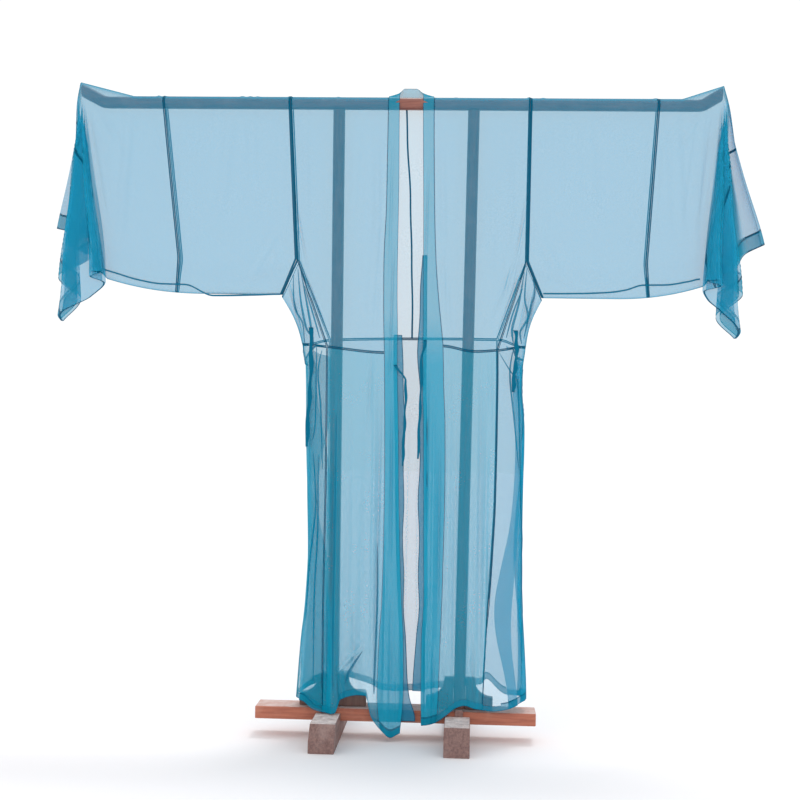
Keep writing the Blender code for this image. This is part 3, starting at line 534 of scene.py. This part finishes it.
def bodice_point(name, u, step):
    """A place on a bodice half: u runs outwards, step up the front, over and down the back."""
    row = SLEEVES[name]
    sign = row["side"]
    top_x = sign * (arm_x(row, BEAM_Z + WRAP) - SEAM_GAP)
    if step <= BODICE_DOWN:
        side, steps = -1, BODICE_DOWN - step
    elif step >= BODICE_DOWN + BODICE_OVER:
        side, steps = 1, step - BODICE_DOWN - BODICE_OVER
    else:
        turn = (step - BODICE_DOWN) / BODICE_OVER * math.pi - math.pi / 2
        y, z = (WRAP + LIFT) * math.sin(turn), BEAM_Z + (WRAP + LIFT) * math.cos(turn)
        inner = sign * (abs(body(name + "_band", z)) + SEAM_GAP)
        x = mix(inner, top_x, u)
        z += top_bump(x) * math.cos(turn)
        behind = max(turn, 0.0) / (math.pi / 2)
        if behind == 0.0:
            return x, y, z
        near = (1 - u) ** 6
        edge_x = mix(inner, sign * SEAM_GAP + along(BACK_SEAM, 1280), ease(behind, 0, 1))
        rise = math.sin(behind * math.pi / 2)
        neck_z = mix(z, NECK_SEAM_Z, rise ** 0.5)
        return mix(edge_x, top_x, u), mix(y, NECK_BACK_Y * rise, near), mix(z, neck_z, near)
    z = 800.0
    for _ in range(4):
        if side < 0:
            inner = sign * (abs(body(name + "_band", z)) + SEAM_GAP)
        else:
            inner = along(BACK_SEAM, z) + sign * SEAM_GAP
        outer = arm_x(row, z) if z >= GUSSET_TOP else gusset_seam(name, side, z)
        x = mix(inner, sign * (outer - SEAM_GAP), u)
        low = along(WAIST_FRONT if side < 0 else WAIST_BACK, x) + SEAM_GAP
        z = mix(GUSSET_TOP, low, (steps - BODICE_ARM) / (BODICE_DOWN - BODICE_ARM))
        if steps <= BODICE_ARM:
            z = mix(BEAM_Z, GUSSET_TOP, steps / BODICE_ARM)
    share = (BEAM_Z - z) / (BEAM_Z - low)
    y = bodice_y(name, side, x, z)
    if side > 0:
        near = (1 - u) ** 6 * (1 - ease(share, 0.0, 0.3))
        y = mix(y, max(y, NECK_BACK_Y), near) + 0.6 * creases(BODICE_CREASES, x + 17, z - 20)
        z = mix(z, mix(NECK_SEAM_Z, z, ease(share, 0.0, 0.16)), near)
    else:
        y += creases(BODICE_CREASES, x, z)
    return x, y, z


# %% [markdown]
# The side of the skirt is one panel, folded front to back. It carries most of the
# fullness, so it hangs in narrow pleats that start at the waist and open downwards.

# %%
# Tucks of the side panels: share across the cloth, angle round the fold, depth inside the wall
TUCKS = {
    "left": ((0, -90, 0), (0.12, -38, 0), (0.21, -86, 5), (0.33, -20, 10), (0.5, 10, 8),
             (0.66, 20, 10), (0.79, 84, 5), (0.88, 40, 0), (1, 90, 0)),
    "right": ((0, -90, 0), (0.17, -50, 0), (0.25, -70, 4), (0.38, -26, 4), (0.45, -42, 7),
              (0.57, 10, 7), (0.7, 44, 5), (0.79, 26, 3), (1, 90, 0)),
}
OVERLAP = {"left": 15.0, "right": 7.0}     # a tuck passes this far behind the panel beside it
GUSSET_CREASES = (
    (-222, 925, -192, 800, 4, -6), (-216, 930, -178, 796, 3.5, 6), (-212, 920, -166, 796, 3.5, -5),
    (-234, 905, -206, 812, 5, -6), (-228, 900, -196, 786, 3, 5), (-186, 840, -176, 782, 3, 5),
    (250, 925, 228, 800, 4, -6), (246, 930, 214, 796, 3.5, 6), (242, 920, 200, 796, 3.5, -5),
    (262, 905, 244, 812, 5, -6), (256, 900, 234, 786, 3, 5), (222, 840, 214, 782, 3, 5),
)


def side_section(name, z, turn):
    """The skirt's side at a height: from its front seam, round the fold, to its back seam."""
    inner, outer = body(name + "_seam", z), body(name + "_side", z)
    ahead, behind = max(-math.sin(turn), 0), max(math.sin(turn), 0)
    x = inner + (outer - inner) * max(math.cos(turn), 0.0) ** 0.6
    y = front_y(inner, z) * ahead ** 0.8 + back_y(inner, z) * behind ** 0.8
    return x, y + folds(FRONT_FOLDS, x, z) * ahead * (1 - ahead) * 2


def side_waist(x, turn):
    return mix(along(WAIST_FRONT, x), along(WAIST_BACK, x), ease(turn, -0.6, 0.6))


def gusset_point(name, u, v):
    row = SLEEVES[name]
    sign = row["side"]
    low = BEAM_Z + WRAP - SLEEVE_DEPTH
    turn = (u - 0.5) * math.pi
    high_z = mix(low + 1.0, GUSSET_TOP, (abs(turn) / (math.pi / 2)) ** 1.6)
    half = half_depth(max(BEAM_Z - high_z, 0.0)) * math.sqrt(min(max((high_z - low) / 11.0, 0.02), 1.0))
    top = Vector((sign * (arm_x(row, high_z) - 0.3), math.copysign(half + LIFT, turn), high_z))
    x, y = side_section(name, 785.0, turn)
    here = top.lerp(Vector((x, y, side_waist(x, turn) + SEAM_GAP)), mix(0.012, 1.0, v))
    here.x -= sign * 6 * math.sin(math.pi * v) * math.cos(turn)
    side = math.copysign(1, turn)
    near = abs(math.sin(turn)) ** 8
    here.y = mix(here.y, bodice_y(name, side, sign * gusset_seam(name, side, here.z), here.z), near)
    here.x += sign * 0.5 * near
    here.y -= (1 if side < 0 else 0.6) * creases(GUSSET_CREASES, here.x, here.z) * (1 - near)
    return here


def side_point(name, u, v):
    sign = SLEEVES[name]["side"]
    grown = ease(v, 0.0, 0.06)
    plain = (u - 0.5) * 180
    wander = 9 * math.sin(v * 5.3 + u * 3) + 6 * math.sin(v * 11.0 + u * 9 + sign)
    edge = min(u, 1 - u) * 8
    turn = math.radians(mix(plain, along(TUCKS[name], u) + wander * min(edge, 1), grown))
    turn = min(max(turn, -math.pi / 2), math.pi / 2)
    inset = along(TUCKS[name], u, 2) * grown * mix(0.6, 1.0, v)
    z = 400.0
    for _ in range(4):
        x, y = side_section(name, z, turn)
        hem = mix(along(HEM_FRONT, x), along(HEM_BACK, x), ease(turn, -0.6, 0.6))
        z = mix(side_waist(x, turn) - SEAM_GAP, hem, v)
    y *= 1 - inset / 30
    tucked = 0.5 * inset * max(math.cos(turn), 0) ** 2
    x += sign * (0.3 - tucked + 1.2 * grown * min(edge, 1) * math.sin(z / 61.0 + turn * 2))
    x -= sign * OVERLAP[name] * grown * min(edge, 1) * ease(abs(math.degrees(turn)), 66.0, 88.0)
    return x, y, z


# %% [markdown]
# The skirt's panels hang from the waist seam. Their low folds are the ones that the
# solids have. Finer ones go on top, each with its own place, length and depth.

# %%
SKIRT_CREASES = (
    (-136, 770, -130, 200, 7, -3.5), (-126, 700, -122, 60, 6, 4), (-104, 640, -100, 120, 10, -3),
    (-54, 760, -50, 90, 7, 4.5), (-42, 700, -44, 60, 5, -5), (-78, 520, -70, 90, 9, 3),
    (-140, 300, -136, 56, 6, -4), (-88, 300, -84, 90, 7, -3.5), (-120, 130, -66, 190, 7, 9),
    (-112, 150, -104, 50, 8, 10), (94, 770, 96, 100, 8, 3), (108, 640, 112, 70, 7, -4),
    (128, 770, 126, 300, 8, -3), (140, 500, 140, 80, 8, 5), (156, 770, 158, 160, 7, -4),
    (170, 690, 168, 75, 7, 5), (178, 420, 176, 70, 6, -4), (148, 200, 150, 66, 7, -5),
    (172, 780, 178, 560, 6, 3), (-62, 775, -66, 600, 6, -3),
)
BACK_CREASES = (
    (-132, 760, -128, 120, 10, 4), (-84, 700, -88, 110, 12, -4), (-48, 760, -52, 90, 9, 4),
    (8, 700, 4, 95, 10, -4), (34, 640, 40, 95, 9, 4), (92, 760, 96, 110, 11, -4),
    (120, 700, 118, 105, 9, 4), (160, 740, 162, 110, 10, -4),
)


def panel_point(left, right, wall, top, hem, rows, u, v):
    """A place on a hanging panel between two side lines, from its waist seam to its hem."""
    z = 400.0
    for _ in range(4):
        x = mix(left(z), right(z), u)
        z = mix(along(top, x) - SEAM_GAP, along(hem, x), v)
    return x, wall(x, z) - creases(rows, x, z), z


def column(key, shift):
    return lambda z: body(key, z) + shift


for name in SLEEVES:
    cloth("bodice_" + name, lambda u, v, name=name: bodice_point(name, u, v * BODICE_ROWS), 84, 208,
          (0.9, 2.6, 2.8, 2.8), SHEER)
    cloth("gusset_" + name, lambda u, v, name=name: gusset_point(name, u, v), 72, 48,
          (1.6, 1.6, 2.0, 2.4), SHEER)
    cloth("skirt_side_" + name, lambda u, v, name=name: side_point(name, u, v), 160, 150,
          (1.8, 1.8, 2.5, 14.0), SIDE[name])
# A panel's side lines, then its wall, waist, hem and creases, its columns, the allowances of its sides
FRONT, REAR = (front_y, WAIST_FRONT, HEM_FRONT, SKIRT_CREASES), (back_y, WAIST_BACK, HEM_BACK, BACK_CREASES)
SKIRT_PANELS = {
    "front_left": (("left_seam", "left_band"), FRONT, 70, (1.8, 0.7), SKIRT),
    "front_right": (("right_band", "right_seam"), FRONT, 70, (0.7, 1.8), SKIRT),
    "back": (("left_seam", "right_seam"), REAR, 150, (1.8, 1.8), BACK),
}
for name, (lines, form, across, sides, material) in SKIRT_PANELS.items():
    args = (column(lines[0], SEAM_GAP), column(lines[1], -SEAM_GAP), *form)
    cloth("skirt_" + name, lambda u, v, args=args: panel_point(*args, u, v), across, 170,
          (*sides, 2.5, 15.0), material)

# %% [markdown]
# The collar is one long band, sewn along both fronts and round the neck. It is cut
# double, so it reads darker than the gauze beside it. The front edges fold back
# behind it, and their reverse shows in the gap.

# %%
BAND_CREASES = (
    (-28, 1200, -30, 900, 4, -2.5), (-22, 1000, -26, 700, 4, 3), (-30, 800, -10, 777, 5, -2.5),
    (-34, 786, -12, 770, 3, 2), (-32, 765, -10, 752, 3, -2), (-34, 745, -16, 738, 3, 2),
    (-20, 690, -16, 300, 5, 4), (-8, 640, 2, 260, 4, -4), (-26, 420, -24, 60, 5, -4),
    (-14, 300, -12, 20, 6, 4.5), (0, 240, 2, 20, 5, -4), (44, 1150, 42, 900, 4, 2.5),
    (40, 778, 74, 786, 4, -2.5), (42, 768, 76, 770, 3, 2), (42, 752, 76, 750, 3, -2.5),
    (44, 738, 74, 742, 3, 2), (50, 730, 54, 380, 5, 4), (64, 700, 68, 120, 6, -4),
    (76, 620, 78, 200, 5, 4), (54, 330, 58, 30, 6, -5), (70, 200, 72, 40, 5, 4.5),
)


def band_front(name, z, u):
    x = mix(body(name + "_band", z), body(name + "_edge", z), u)
    return Vector((x, front_y(x, z) - 0.2 + creases(BAND_CREASES, x, z), z))


def neck(name, turn, u):
    """The band round the neck: turn 0 at the beam's face, 1 at the middle of the back."""
    back_x = along(BACK_SEAM, 1280)
    sewn_x = mix(body(name + "_band", BEAM_Z), back_x, ease(turn, 0.35, 1.3))
    free_x = mix(body(name + "_edge", BEAM_Z), back_x + 4, ease(turn, 0.3, 1.4))
    angle = min(turn / 0.6, 1.0) * math.pi / 2 * 1.15 - math.pi / 2
    lift = WRAP + LIFT + 0.9 * ease(turn, 0.1, 0.4) + 3.6 * turn
    sewn = Vector((sewn_x, lift * math.sin(angle), BEAM_Z + lift * max(math.cos(angle), 0.0)))
    if turn > 0.45:
        sewn = sewn.lerp(Vector((sewn_x, NECK_BACK_Y, NECK_SEAM_Z + 0.6)), ease(turn, 0.45, 0.8))
    ring = WRAP + 1.0 + 9 * ease(turn, 0.0, 0.65)
    free = Vector((free_x, ring * math.sin(angle) * 0.8, BEAM_Z + ring * max(math.cos(angle), 0.0)))
    free = free.lerp(Vector((free_x, NECK_BACK_Y + 0.5, NECK_TOP_Z)), ease(turn, 0.4, 0.85))
    return sewn.lerp(free, u)


def collar_point(u, v, down=18, round_neck=12):
    rows = 2 * down + round_neck
    step = v * rows
    if down < step < down + round_neck:
        turn = (step - down) / round_neck * 2
        return neck("left", turn, u) if turn <= 1 else neck("right", 2 - turn, u)
    name = "left" if step <= down else "right"
    share = step / down if step <= down else (rows - step) / down
    low = along(HEM_FRONT, mix(body(name + "_band", 30), body(name + "_edge", 30), u))
    return band_front(name, mix(low, BEAM_Z, share ** 0.9), u)


def facing_point(name, low, high, reach, u, v):
    sign = 1 if name == "left" else -1
    z = mix(low, high, v)
    edge = body(name + "_edge", z)
    x = mix(edge - sign * 8, edge + sign * along(reach, z), u)
    x += sign * 1.2 * u * math.sin(z / 23.0)
    return x, front_y(edge, z) + 2.6 + 3 * u + 0.8 * math.sin(z / 17.0 + u), z


FACING_REACH = {
    "left": (40, 800, ((40, 26), (92, 12), (200, 4), (475, 9), (671, 13), (800, 9))),
    "right": (100, 960, ((100, 18), (200, 10), (475, 10), (671, 6), (780, 10), (960, 3))),
}
TIES = (     # name, x, x of the cloth behind, top, end, sway, shift and lift at the top, half width
    ("side_left", -184, -184, 812, 575, 2.5, 0, 0.85, 4.6),
    ("side_right", 222, 222, 812, 690, 2.5, 0, 0.8, 4.6),
    ("front_left", 6, -14, 740, 541, 1.5, -20, 1.5, 3.1),
    ("front_right", 36, 44, 790, 555, 1.5, 8, 1.45, 3.1),
)


def tie_point(row, u, v):
    x, cloth_x, high, low, sway, shift, lift, half = row[1:]
    z = mix(high, low, v)
    sewn = 1 - ease(v, 0.0, 0.16)
    twist = 0.5 * math.sin(v * 4.0) + 0.4 * math.sin(v * 17)
    side = half * math.cos(u * 2 * math.pi) * (1 - 0.25 * math.sin(v * 11) ** 2)
    thick = 0.7 * math.sin(u * 2 * math.pi)
    bend = sway * math.sin(v * 5.0) + 0.8 * math.sin(v * 23) + shift * sewn
    y = front_y(cloth_x, z) - mix(5.2, lift + 0.9, sewn) + side * math.sin(twist) + thick * math.cos(twist)
    return x + bend + side * math.cos(twist) - thick * math.sin(twist), y, z


cloth("collar_band", collar_point, 28, 384, (0.7, 0.9, 15.0, 15.0), DOUBLE)
for name, args in FACING_REACH.items():
    cloth("facing_" + name, lambda u, v, name=name, args=args: facing_point(name, *args, u, v),
          8, 190, (1.5, 1.8, 1.5, 1.5), RAW)
for row in TIES:
    cloth("tie_" + row[0], lambda u, v, row=row: tie_point(row, u, v), 12, 110, (0, 0, 2.5, 2.5), CORD)

# %% [markdown]
# Three seams are thick enough to be pieces of their own. The underarm seam of each sleeve
# has rolled up onto its front wall, and the centre back seam is felled on the outside.

# %%
ROLLED_SEAMS = {
    "left": ((-249, 879), (-300, 877), (-386, 875), (-442, 896), (-491, 897), (-541, 905),
             (-576, 915), (-604, 923), (-633, 931)),
    "right": ((276, 887), (345, 888), (406, 891), (438, 896), (472, 906), (516, 907),
              (560, 914), (583, 919)),
}
BACK_SEAM_WIDTH = 3.6


def seam_point(rows, half, lift, u, v):
    t = v * (len(rows) - 1)
    i = min(int(t), len(rows) - 2)
    x = mix(rows[i][0], rows[i + 1][0], t - i)
    z = along(sorted(rows), x) + (u - 0.5) * 2 * half
    run = min(max(BEAM_Z - z, 0.0), WALL_LENGTH)
    rounded = FOLD_ROUND + LIFT
    under = min(max((BEAM_Z + WRAP - SLEEVE_DEPTH + rounded - z) / rounded, 0.0), 0.97)
    return x, -(half_depth(run) + LIFT) * math.sqrt(1 - under ** 2) - lift, z


for name, rows in ROLLED_SEAMS.items():
    cloth("seam_underarm_" + name, lambda u, v, rows=rows: seam_point(rows, 1.6, 0.8, u, v), 2, 120,
          (0, 0, 0, 0), CORD, node="")


def back_seam_point(u, v):
    x, y, z = bodice_point("left", 0.0, BODICE_DOWN + BODICE_OVER + BODICE_DOWN * v)
    return x + (u - 0.5) * BACK_SEAM_WIDTH + 0.4 * math.sin(z / 19.0), y + 0.8, z


cloth("seam_back", back_seam_point, 2, 90, (0, 0, 0, 0), CORD, node="")

# %% [markdown]
# Where the thin cloth is crumpled it lies folded over itself, and the fold reads as a
# dark line with soft ends. Each row below is one such fold: the sheet that it lies on,
# then its line as x, z and half width. A ray from the front finds the cloth under it.

# %%
FOLD_LINES = (
    ("gusset_left", ((-208, 924, 0.8), (-195, 866, 1.4), (-184, 813, 1.8), (-178, 779, 1.2))),
    ("gusset_left", ((-214, 930, 0.8), (-205, 856, 1.5), (-192, 807, 1.6), (-178, 791, 0.9))),
    ("gusset_left", ((-223, 919, 0.7), (-220, 857, 1.3), (-201, 818, 1.2), (-197, 781, 0.8))),
    ("gusset_left", ((-200, 896, 0.8), (-180, 837, 1.2), (-166, 791, 0.9))),
    ("skirt_side_left", ((-200, 777, 1), (-200, 745, 1.6), (-188, 737, 1))),
    ("skirt_side_left", ((-169, 779, 1.5), (-183, 767, 1.8), (-194, 751, 1.2))),
    ("skirt_side_left", ((-161, 767, 0.9), (-168, 723, 1.3), (-161, 650, 1.3), (-155, 529, 0.9))),
    ("skirt_side_left", ((-175, 564, 0.9), (-167, 463, 1.3), (-177, 344, 1.2), (-183, 231, 0.8))),
    ("skirt_side_left", ((-172, 777, 1.1), (-171, 634, 1.1), (-176, 588, 0.8))),
    ("skirt_side_left", ((-164, 560, 0.8), (-162, 420, 1.3), (-166, 272, 1.3), (-164, 113, 1.0))),
    ("skirt_front_left", ((-130, 640, 0.8), (-128, 470, 1.4), (-127, 232, 1.6), (-124, 94, 1.0))),
    ("skirt_front_left", ((-44, 387, 0.8), (-41, 274, 1.5), (-44, 117, 1.6), (-44, 92, 1))),
    ("skirt_front_left", ((-101, 111, 0.8), (-95, 131, 2.2), (-84, 151, 1.8), (-68, 175, 0.7))),
    ("gusset_right", ((238, 930, 0.8), (228, 868, 1.6), (215, 811, 1.9), (218, 787, 1.2))),
    ("gusset_right", ((243, 936, 0.9), (239, 880, 1.4), (246, 841, 1.5), (231, 807, 1.6), (235, 785, 1))),
    ("gusset_right", ((254, 920, 0.7), (259, 891, 1.3), (250, 847, 1.4), (239, 797, 0.9))),
    ("gusset_right", ((235, 896, 0.8), (215, 842, 1.2), (204, 797, 0.9))),
    ("skirt_side_right", ((215, 783, 1.2), (227, 757, 2), (239, 754, 1.2))),
    ("skirt_side_right", ((190, 768, 0.8), (214, 730, 1.2), (228, 712, 1.2), (232, 635, 1.1),
                          (238, 478, 1.1), (245, 321, 1), (245, 158, 0.9))),
    ("skirt_side_right", ((240, 746, 1.2), (237, 713, 1.8), (241, 657, 1.4), (238, 596, 0.9))),
    ("skirt_side_right", ((218, 773, 1), (212, 728, 1.3), (222, 635, 1.2), (233, 537, 0.8))),
)
FOLD_STATIONS = 60
FOLD_SPREAD = 1.35      # a fold reads this much wider than its row says
FRONT_LIMIT = -0.005    # metres: a hit further back than this is past the cloth's outline


def fold_course(surface, line):
    """The middle of a fold with its half width, laid on the front of the cloth below it."""
    lengths = [(k, *row) for k, row in enumerate(line)]
    course = []
    for k in range(FOLD_STATIONS + 1):
        x, z, half = (along(lengths, k / FOLD_STATIONS * (len(line) - 1), column) for column in (1, 2, 3))
        for _ in range(9):
            hit = surface.ray_cast(Vector((x * MM, -1.0, z * MM)), Vector((0, 1, 0)))[0]
            if hit and hit.y < FRONT_LIMIT:
                break
            x -= math.copysign(1.0, x)
        course.append((x, hit.y / MM if hit else -20.0, z, half))
    course = np.array(course)
    low = np.array([course[max(k - 2, 0):k + 3, 1].min() for k in range(len(course))])
    course[:, 1] = [low[max(k - 3, 0):k + 4].mean() for k in range(len(low))]
    return course


def fold_point(course, u, v):
    k = round(v * FOLD_STATIONS)
    x, y, z, half = course[k]
    run = course[min(k + 1, FOLD_STATIONS)] - course[max(k - 1, 0)]
    length = math.hypot(run[0], run[2])
    wide = (2 * u - 1) * FOLD_SPREAD * half * max(math.sin(math.pi * v), 0.0) ** 0.4
    return x + run[2] / length * wide, y - 1.0 + 0.8 * abs(2 * u - 1), z - run[0] / length * wide


for sheet in sorted({row[0] for row in FOLD_LINES}):
    surface = BVHTree.FromPolygons([v.co for v in PIECES[sheet].data.vertices],
                                   [p.vertices for p in PIECES[sheet].data.polygons])
    courses = [fold_course(surface, row[1]) for row in FOLD_LINES if row[0] == sheet]
    cloth("folds_" + sheet, [lambda u, v, course=course: fold_point(course, u, v) for course in courses],
          4, FOLD_STATIONS, (0, 0, 0, 0), FOLDED, node="")

# %% [markdown]
# Wood. The rack's own solids stay and get grain, wear and dust. The beam and uprights
# are polished, the rail and feet are worn and dusty on top. Grain is a noise that is
# stretched along each timber, read from object coordinates in metres.

# %%
def wood(name, light, dark, worn, along_axis, roughness, dust=0.0, dust_colour="#E2D2CD"):
    """Grain runs along an axis (0 x, 1 y, 2 z). Dust settles on faces that look up."""
    made, tree = new_material(name)
    here = add(tree, "TexCoord").outputs["Object"]
    scale = [1.0, 1.0, 1.0]
    scale[along_axis] = 0.06
    stretched = add(tree, "Mapping", {"Vector": here, "Scale": scale}).outputs[0]
    grain = add(tree, "TexNoise", {"Vector": stretched, "Scale": 260.0, "Detail": 5.0,
                                   "Roughness": 0.65}).outputs[0]
    broad = add(tree, "TexNoise", {"Vector": here, "Scale": 26.0, "Detail": 3.0}).outputs[0]
    grain_share = add(tree, "MapRange", {"Value": grain, "From Min": 0.35, "From Max": 0.68}).outputs[0]
    wear_share = add(tree, "MapRange", {"Value": broad, "From Min": 0.5, "From Max": 0.72}).outputs[0]
    base = add(tree, "Mix", {"Factor": grain_share, "A": linear(light), "B": linear(dark)},
               data_type="RGBA").outputs[2]
    base = add(tree, "Mix", {"Factor": math_node(tree, "MULTIPLY", wear_share, 0.5), "A": base,
                             "B": linear(worn)}, data_type="RGBA").outputs[2]
    up = add(tree, "SeparateXYZ", [(0, add(tree, "NewGeometry").outputs["Normal"])]).outputs[2]
    level = add(tree, "MapRange", {"Value": up, "From Min": 0.74, "From Max": 0.95}).outputs[0]
    patch = add(tree, "TexNoise", {"Vector": here, "Scale": 60.0, "Detail": 6.0,
                                   "Roughness": 0.7}).outputs[0]
    patch = add(tree, "MapRange", {"Value": patch, "From Min": 0.36, "From Max": 0.6,
                                   "To Min": 0.45, "To Max": 1.0}).outputs[0]
    cover = math_node(tree, "MULTIPLY", math_node(tree, "MULTIPLY", level, dust), patch)
    colour = add(tree, "Mix", {"Factor": cover, "A": base, "B": linear(dust_colour)},
                 data_type="RGBA").outputs[2]
    bump = add(tree, "Bump", {"Height": grain, "Strength": 0.25, "Distance": 0.0006}).outputs[0]
    shader = add(tree, "BsdfPrincipled", {"Base Color": colour, "Normal": bump,
                                          "Roughness": add(tree, "Mix", {"Factor": cover, "A": roughness,
                                                                         "B": 0.9}).outputs[0]})
    add(tree, "OutputMaterial", {"Surface": shader.outputs[0]})
    return made


BEAM = wood("polished_beam", "#9A6152", "#7A463D", "#AC7869", 0, 0.3, 0.3)
POST = wood("polished_upright", "#94604F", "#704840", "#A07062", 2, 0.42, 0.1)
RAIL = wood("worn_rail", "#BE7359", "#A15A46", "#C68A74", 0, 0.55, 0.8)
FOOT = wood("dusty_foot", "#93736C", "#6E5350", "#AC948E", 1, 0.75, 0.98, "#F0E0DB")
WING = wood("worn_bracket", "#8A6A60", "#6E4F48", "#96796E", 2, 0.7, 0.5)
RACK = {"beam": BEAM, "upright": POST, "rail": RAIL, "foot": FOOT, "bracket": WING, "peg": WING}
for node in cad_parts:
    kind = "foot" if node.startswith("rail_key") else node.split("_")[0]
    if kind in RACK:
        for slot in bpy.data.objects[node].material_slots:
            slot.material = RACK[kind]
print("wood on", sorted(RACK))

# %% [markdown]
# Each sheet's flat cut is listed with its size in metres and what it is sewn to or rests on,
# and its area is printed beside the area of the sheet as made. The sleeve's cuts are tubes laid flat, twice
# as deep as the sleeve.

# %%
ROUND = 2 * SLEEVE_DEPTH * MM
SHEETS = {
    "bodice_left": (0.205, 1.00, "draped", ("beam",)),
    "bodice_right": (0.20, 1.00, "draped", ("beam",)),
    "sleeve_inner_left": (0.258, ROUND, "draped", ("beam",)),
    "sleeve_inner_right": (0.254, ROUND, "draped", ("beam",)),
    "sleeve_outer_left": (0.251, ROUND, "draped", ("beam",)),
    "sleeve_outer_right": (0.248, ROUND, "draped", ("beam",)),
    "sleeve_end_left": (0.189, ROUND, "hung", ("sleeve_outer_left",)),
    "sleeve_end_right": (0.172, ROUND, "hung", ("sleeve_outer_right",)),
    "cuff_left": (0.029, ROUND, "hung", ("sleeve_end_left",)),
    "cuff_right": (0.029, ROUND, "hung", ("sleeve_end_right",)),
    "gusset_left": (0.13, 0.18, "hung", ("bodice_left",)),
    "gusset_right": (0.13, 0.18, "hung", ("bodice_right",)),
    "skirt_front_left": (0.14, 0.72, "hung", ("bodice_left",)),
    "skirt_front_right": (0.13, 0.72, "hung", ("bodice_right",)),
    "skirt_side_left": (0.30, 0.71, "gathered", ("gusset_left",)),
    "skirt_side_right": (0.27, 0.71, "gathered", ("gusset_right",)),
    "skirt_back": (0.36, 0.70, "hung", ("bodice_left", "bodice_right")),
    "collar_band": (0.034, 2.56, "hung", ("bodice_left", "bodice_right")),
    "facing_left": (0.018, 0.76, "hung", ("collar_band",)),
    "facing_right": (0.018, 0.86, "hung", ("collar_band",)),
    "tie_side_left": (0.019, 0.24, "hung", ("gusset_left",)),
    "tie_side_right": (0.019, 0.125, "hung", ("gusset_right",)),
    "tie_front_left": (0.013, 0.20, "hung", ("collar_band",)),
    "tie_front_right": (0.013, 0.236, "hung", ("collar_band",)),
}
for name, (width, length, held, rests) in SHEETS.items():
    cut, made = round(width * length * 1e4), PIECES[name]["cm2"]
    print("%-20s cut %5d cm2, made %5d cm2, share %.2f" % (name, cut, made, made / cut))

# %% [markdown]
# The camera was fitted to the rack's corners in the photograph. The studio is white
# all round: a pale world fills the shadows, and one broad sun from the front draws
# soft shadows on a white floor.

# %%
camera_data = bpy.data.cameras.new("camera")
camera_data.lens = 60.56
camera_data.sensor_width = 36.0
camera_data.clip_end = 100
camera = bpy.data.objects.new("camera", camera_data)
bpy.context.collection.objects.link(camera)
yaw, pitch, roll = -0.053, -0.015, 0.018
forward = Vector((math.sin(yaw) * math.cos(pitch), math.cos(yaw) * math.cos(pitch), -math.sin(pitch)))
flat_right = Vector((math.cos(yaw), -math.sin(yaw), 0))
flat_up = flat_right.cross(forward)
right = math.cos(roll) * flat_right + math.sin(roll) * flat_up
up = math.cos(roll) * flat_up - math.sin(roll) * flat_right
turn = Matrix((right, up, -forward)).transposed().to_4x4()
camera.matrix_world = Matrix.Translation(Vector((137.22, -2687.02, 630.65)) * MM) @ turn
bpy.context.scene.camera = camera

world = bpy.data.worlds.new("studio")
world.use_nodes = True
tree = world.node_tree
tree.nodes.clear()
seen = add(tree, "LightPath").outputs["Is Camera Ray"]
strength = add(tree, "Mix", {"Factor": seen, "A": 1.0, "B": 1.04}).outputs[0]
sky = add(tree, "Background", {"Color": (1, 1, 1, 1), "Strength": strength})
add(tree, "OutputWorld", {"Surface": sky.outputs[0]})
bpy.context.scene.world = world

sun_data = bpy.data.lights.new("key", "SUN")
sun_data.energy = 0.65
sun_data.angle = math.radians(14)
sun = bpy.data.objects.new("key", sun_data)
sun.rotation_euler = (math.radians(-16), math.radians(9), 0)
bpy.context.collection.objects.link(sun)

bm = bmesh.new()
bmesh.ops.create_grid(bm, x_segments=1, y_segments=1, size=14.0)
mesh = bpy.data.meshes.new("floor")
bm.to_mesh(mesh)
bm.free()
floor = bpy.data.objects.new("floor", mesh)
floor_material, tree = new_material("studio_floor")
paint = add(tree, "BsdfPrincipled", {"Base Color": (0.925, 0.915, 0.935, 1), "Roughness": 0.7,
                                     "Specular IOR Level": 0.2})
add(tree, "OutputMaterial", {"Surface": paint.outputs[0]})
mesh.materials.append(floor_material)
bpy.context.collection.objects.link(floor)

# Colours stay as they are written, and light passes through every layer of the gauze
bpy.context.scene.view_settings.view_transform = "Standard"
bpy.context.scene.cycles.transparent_max_bounces = 64
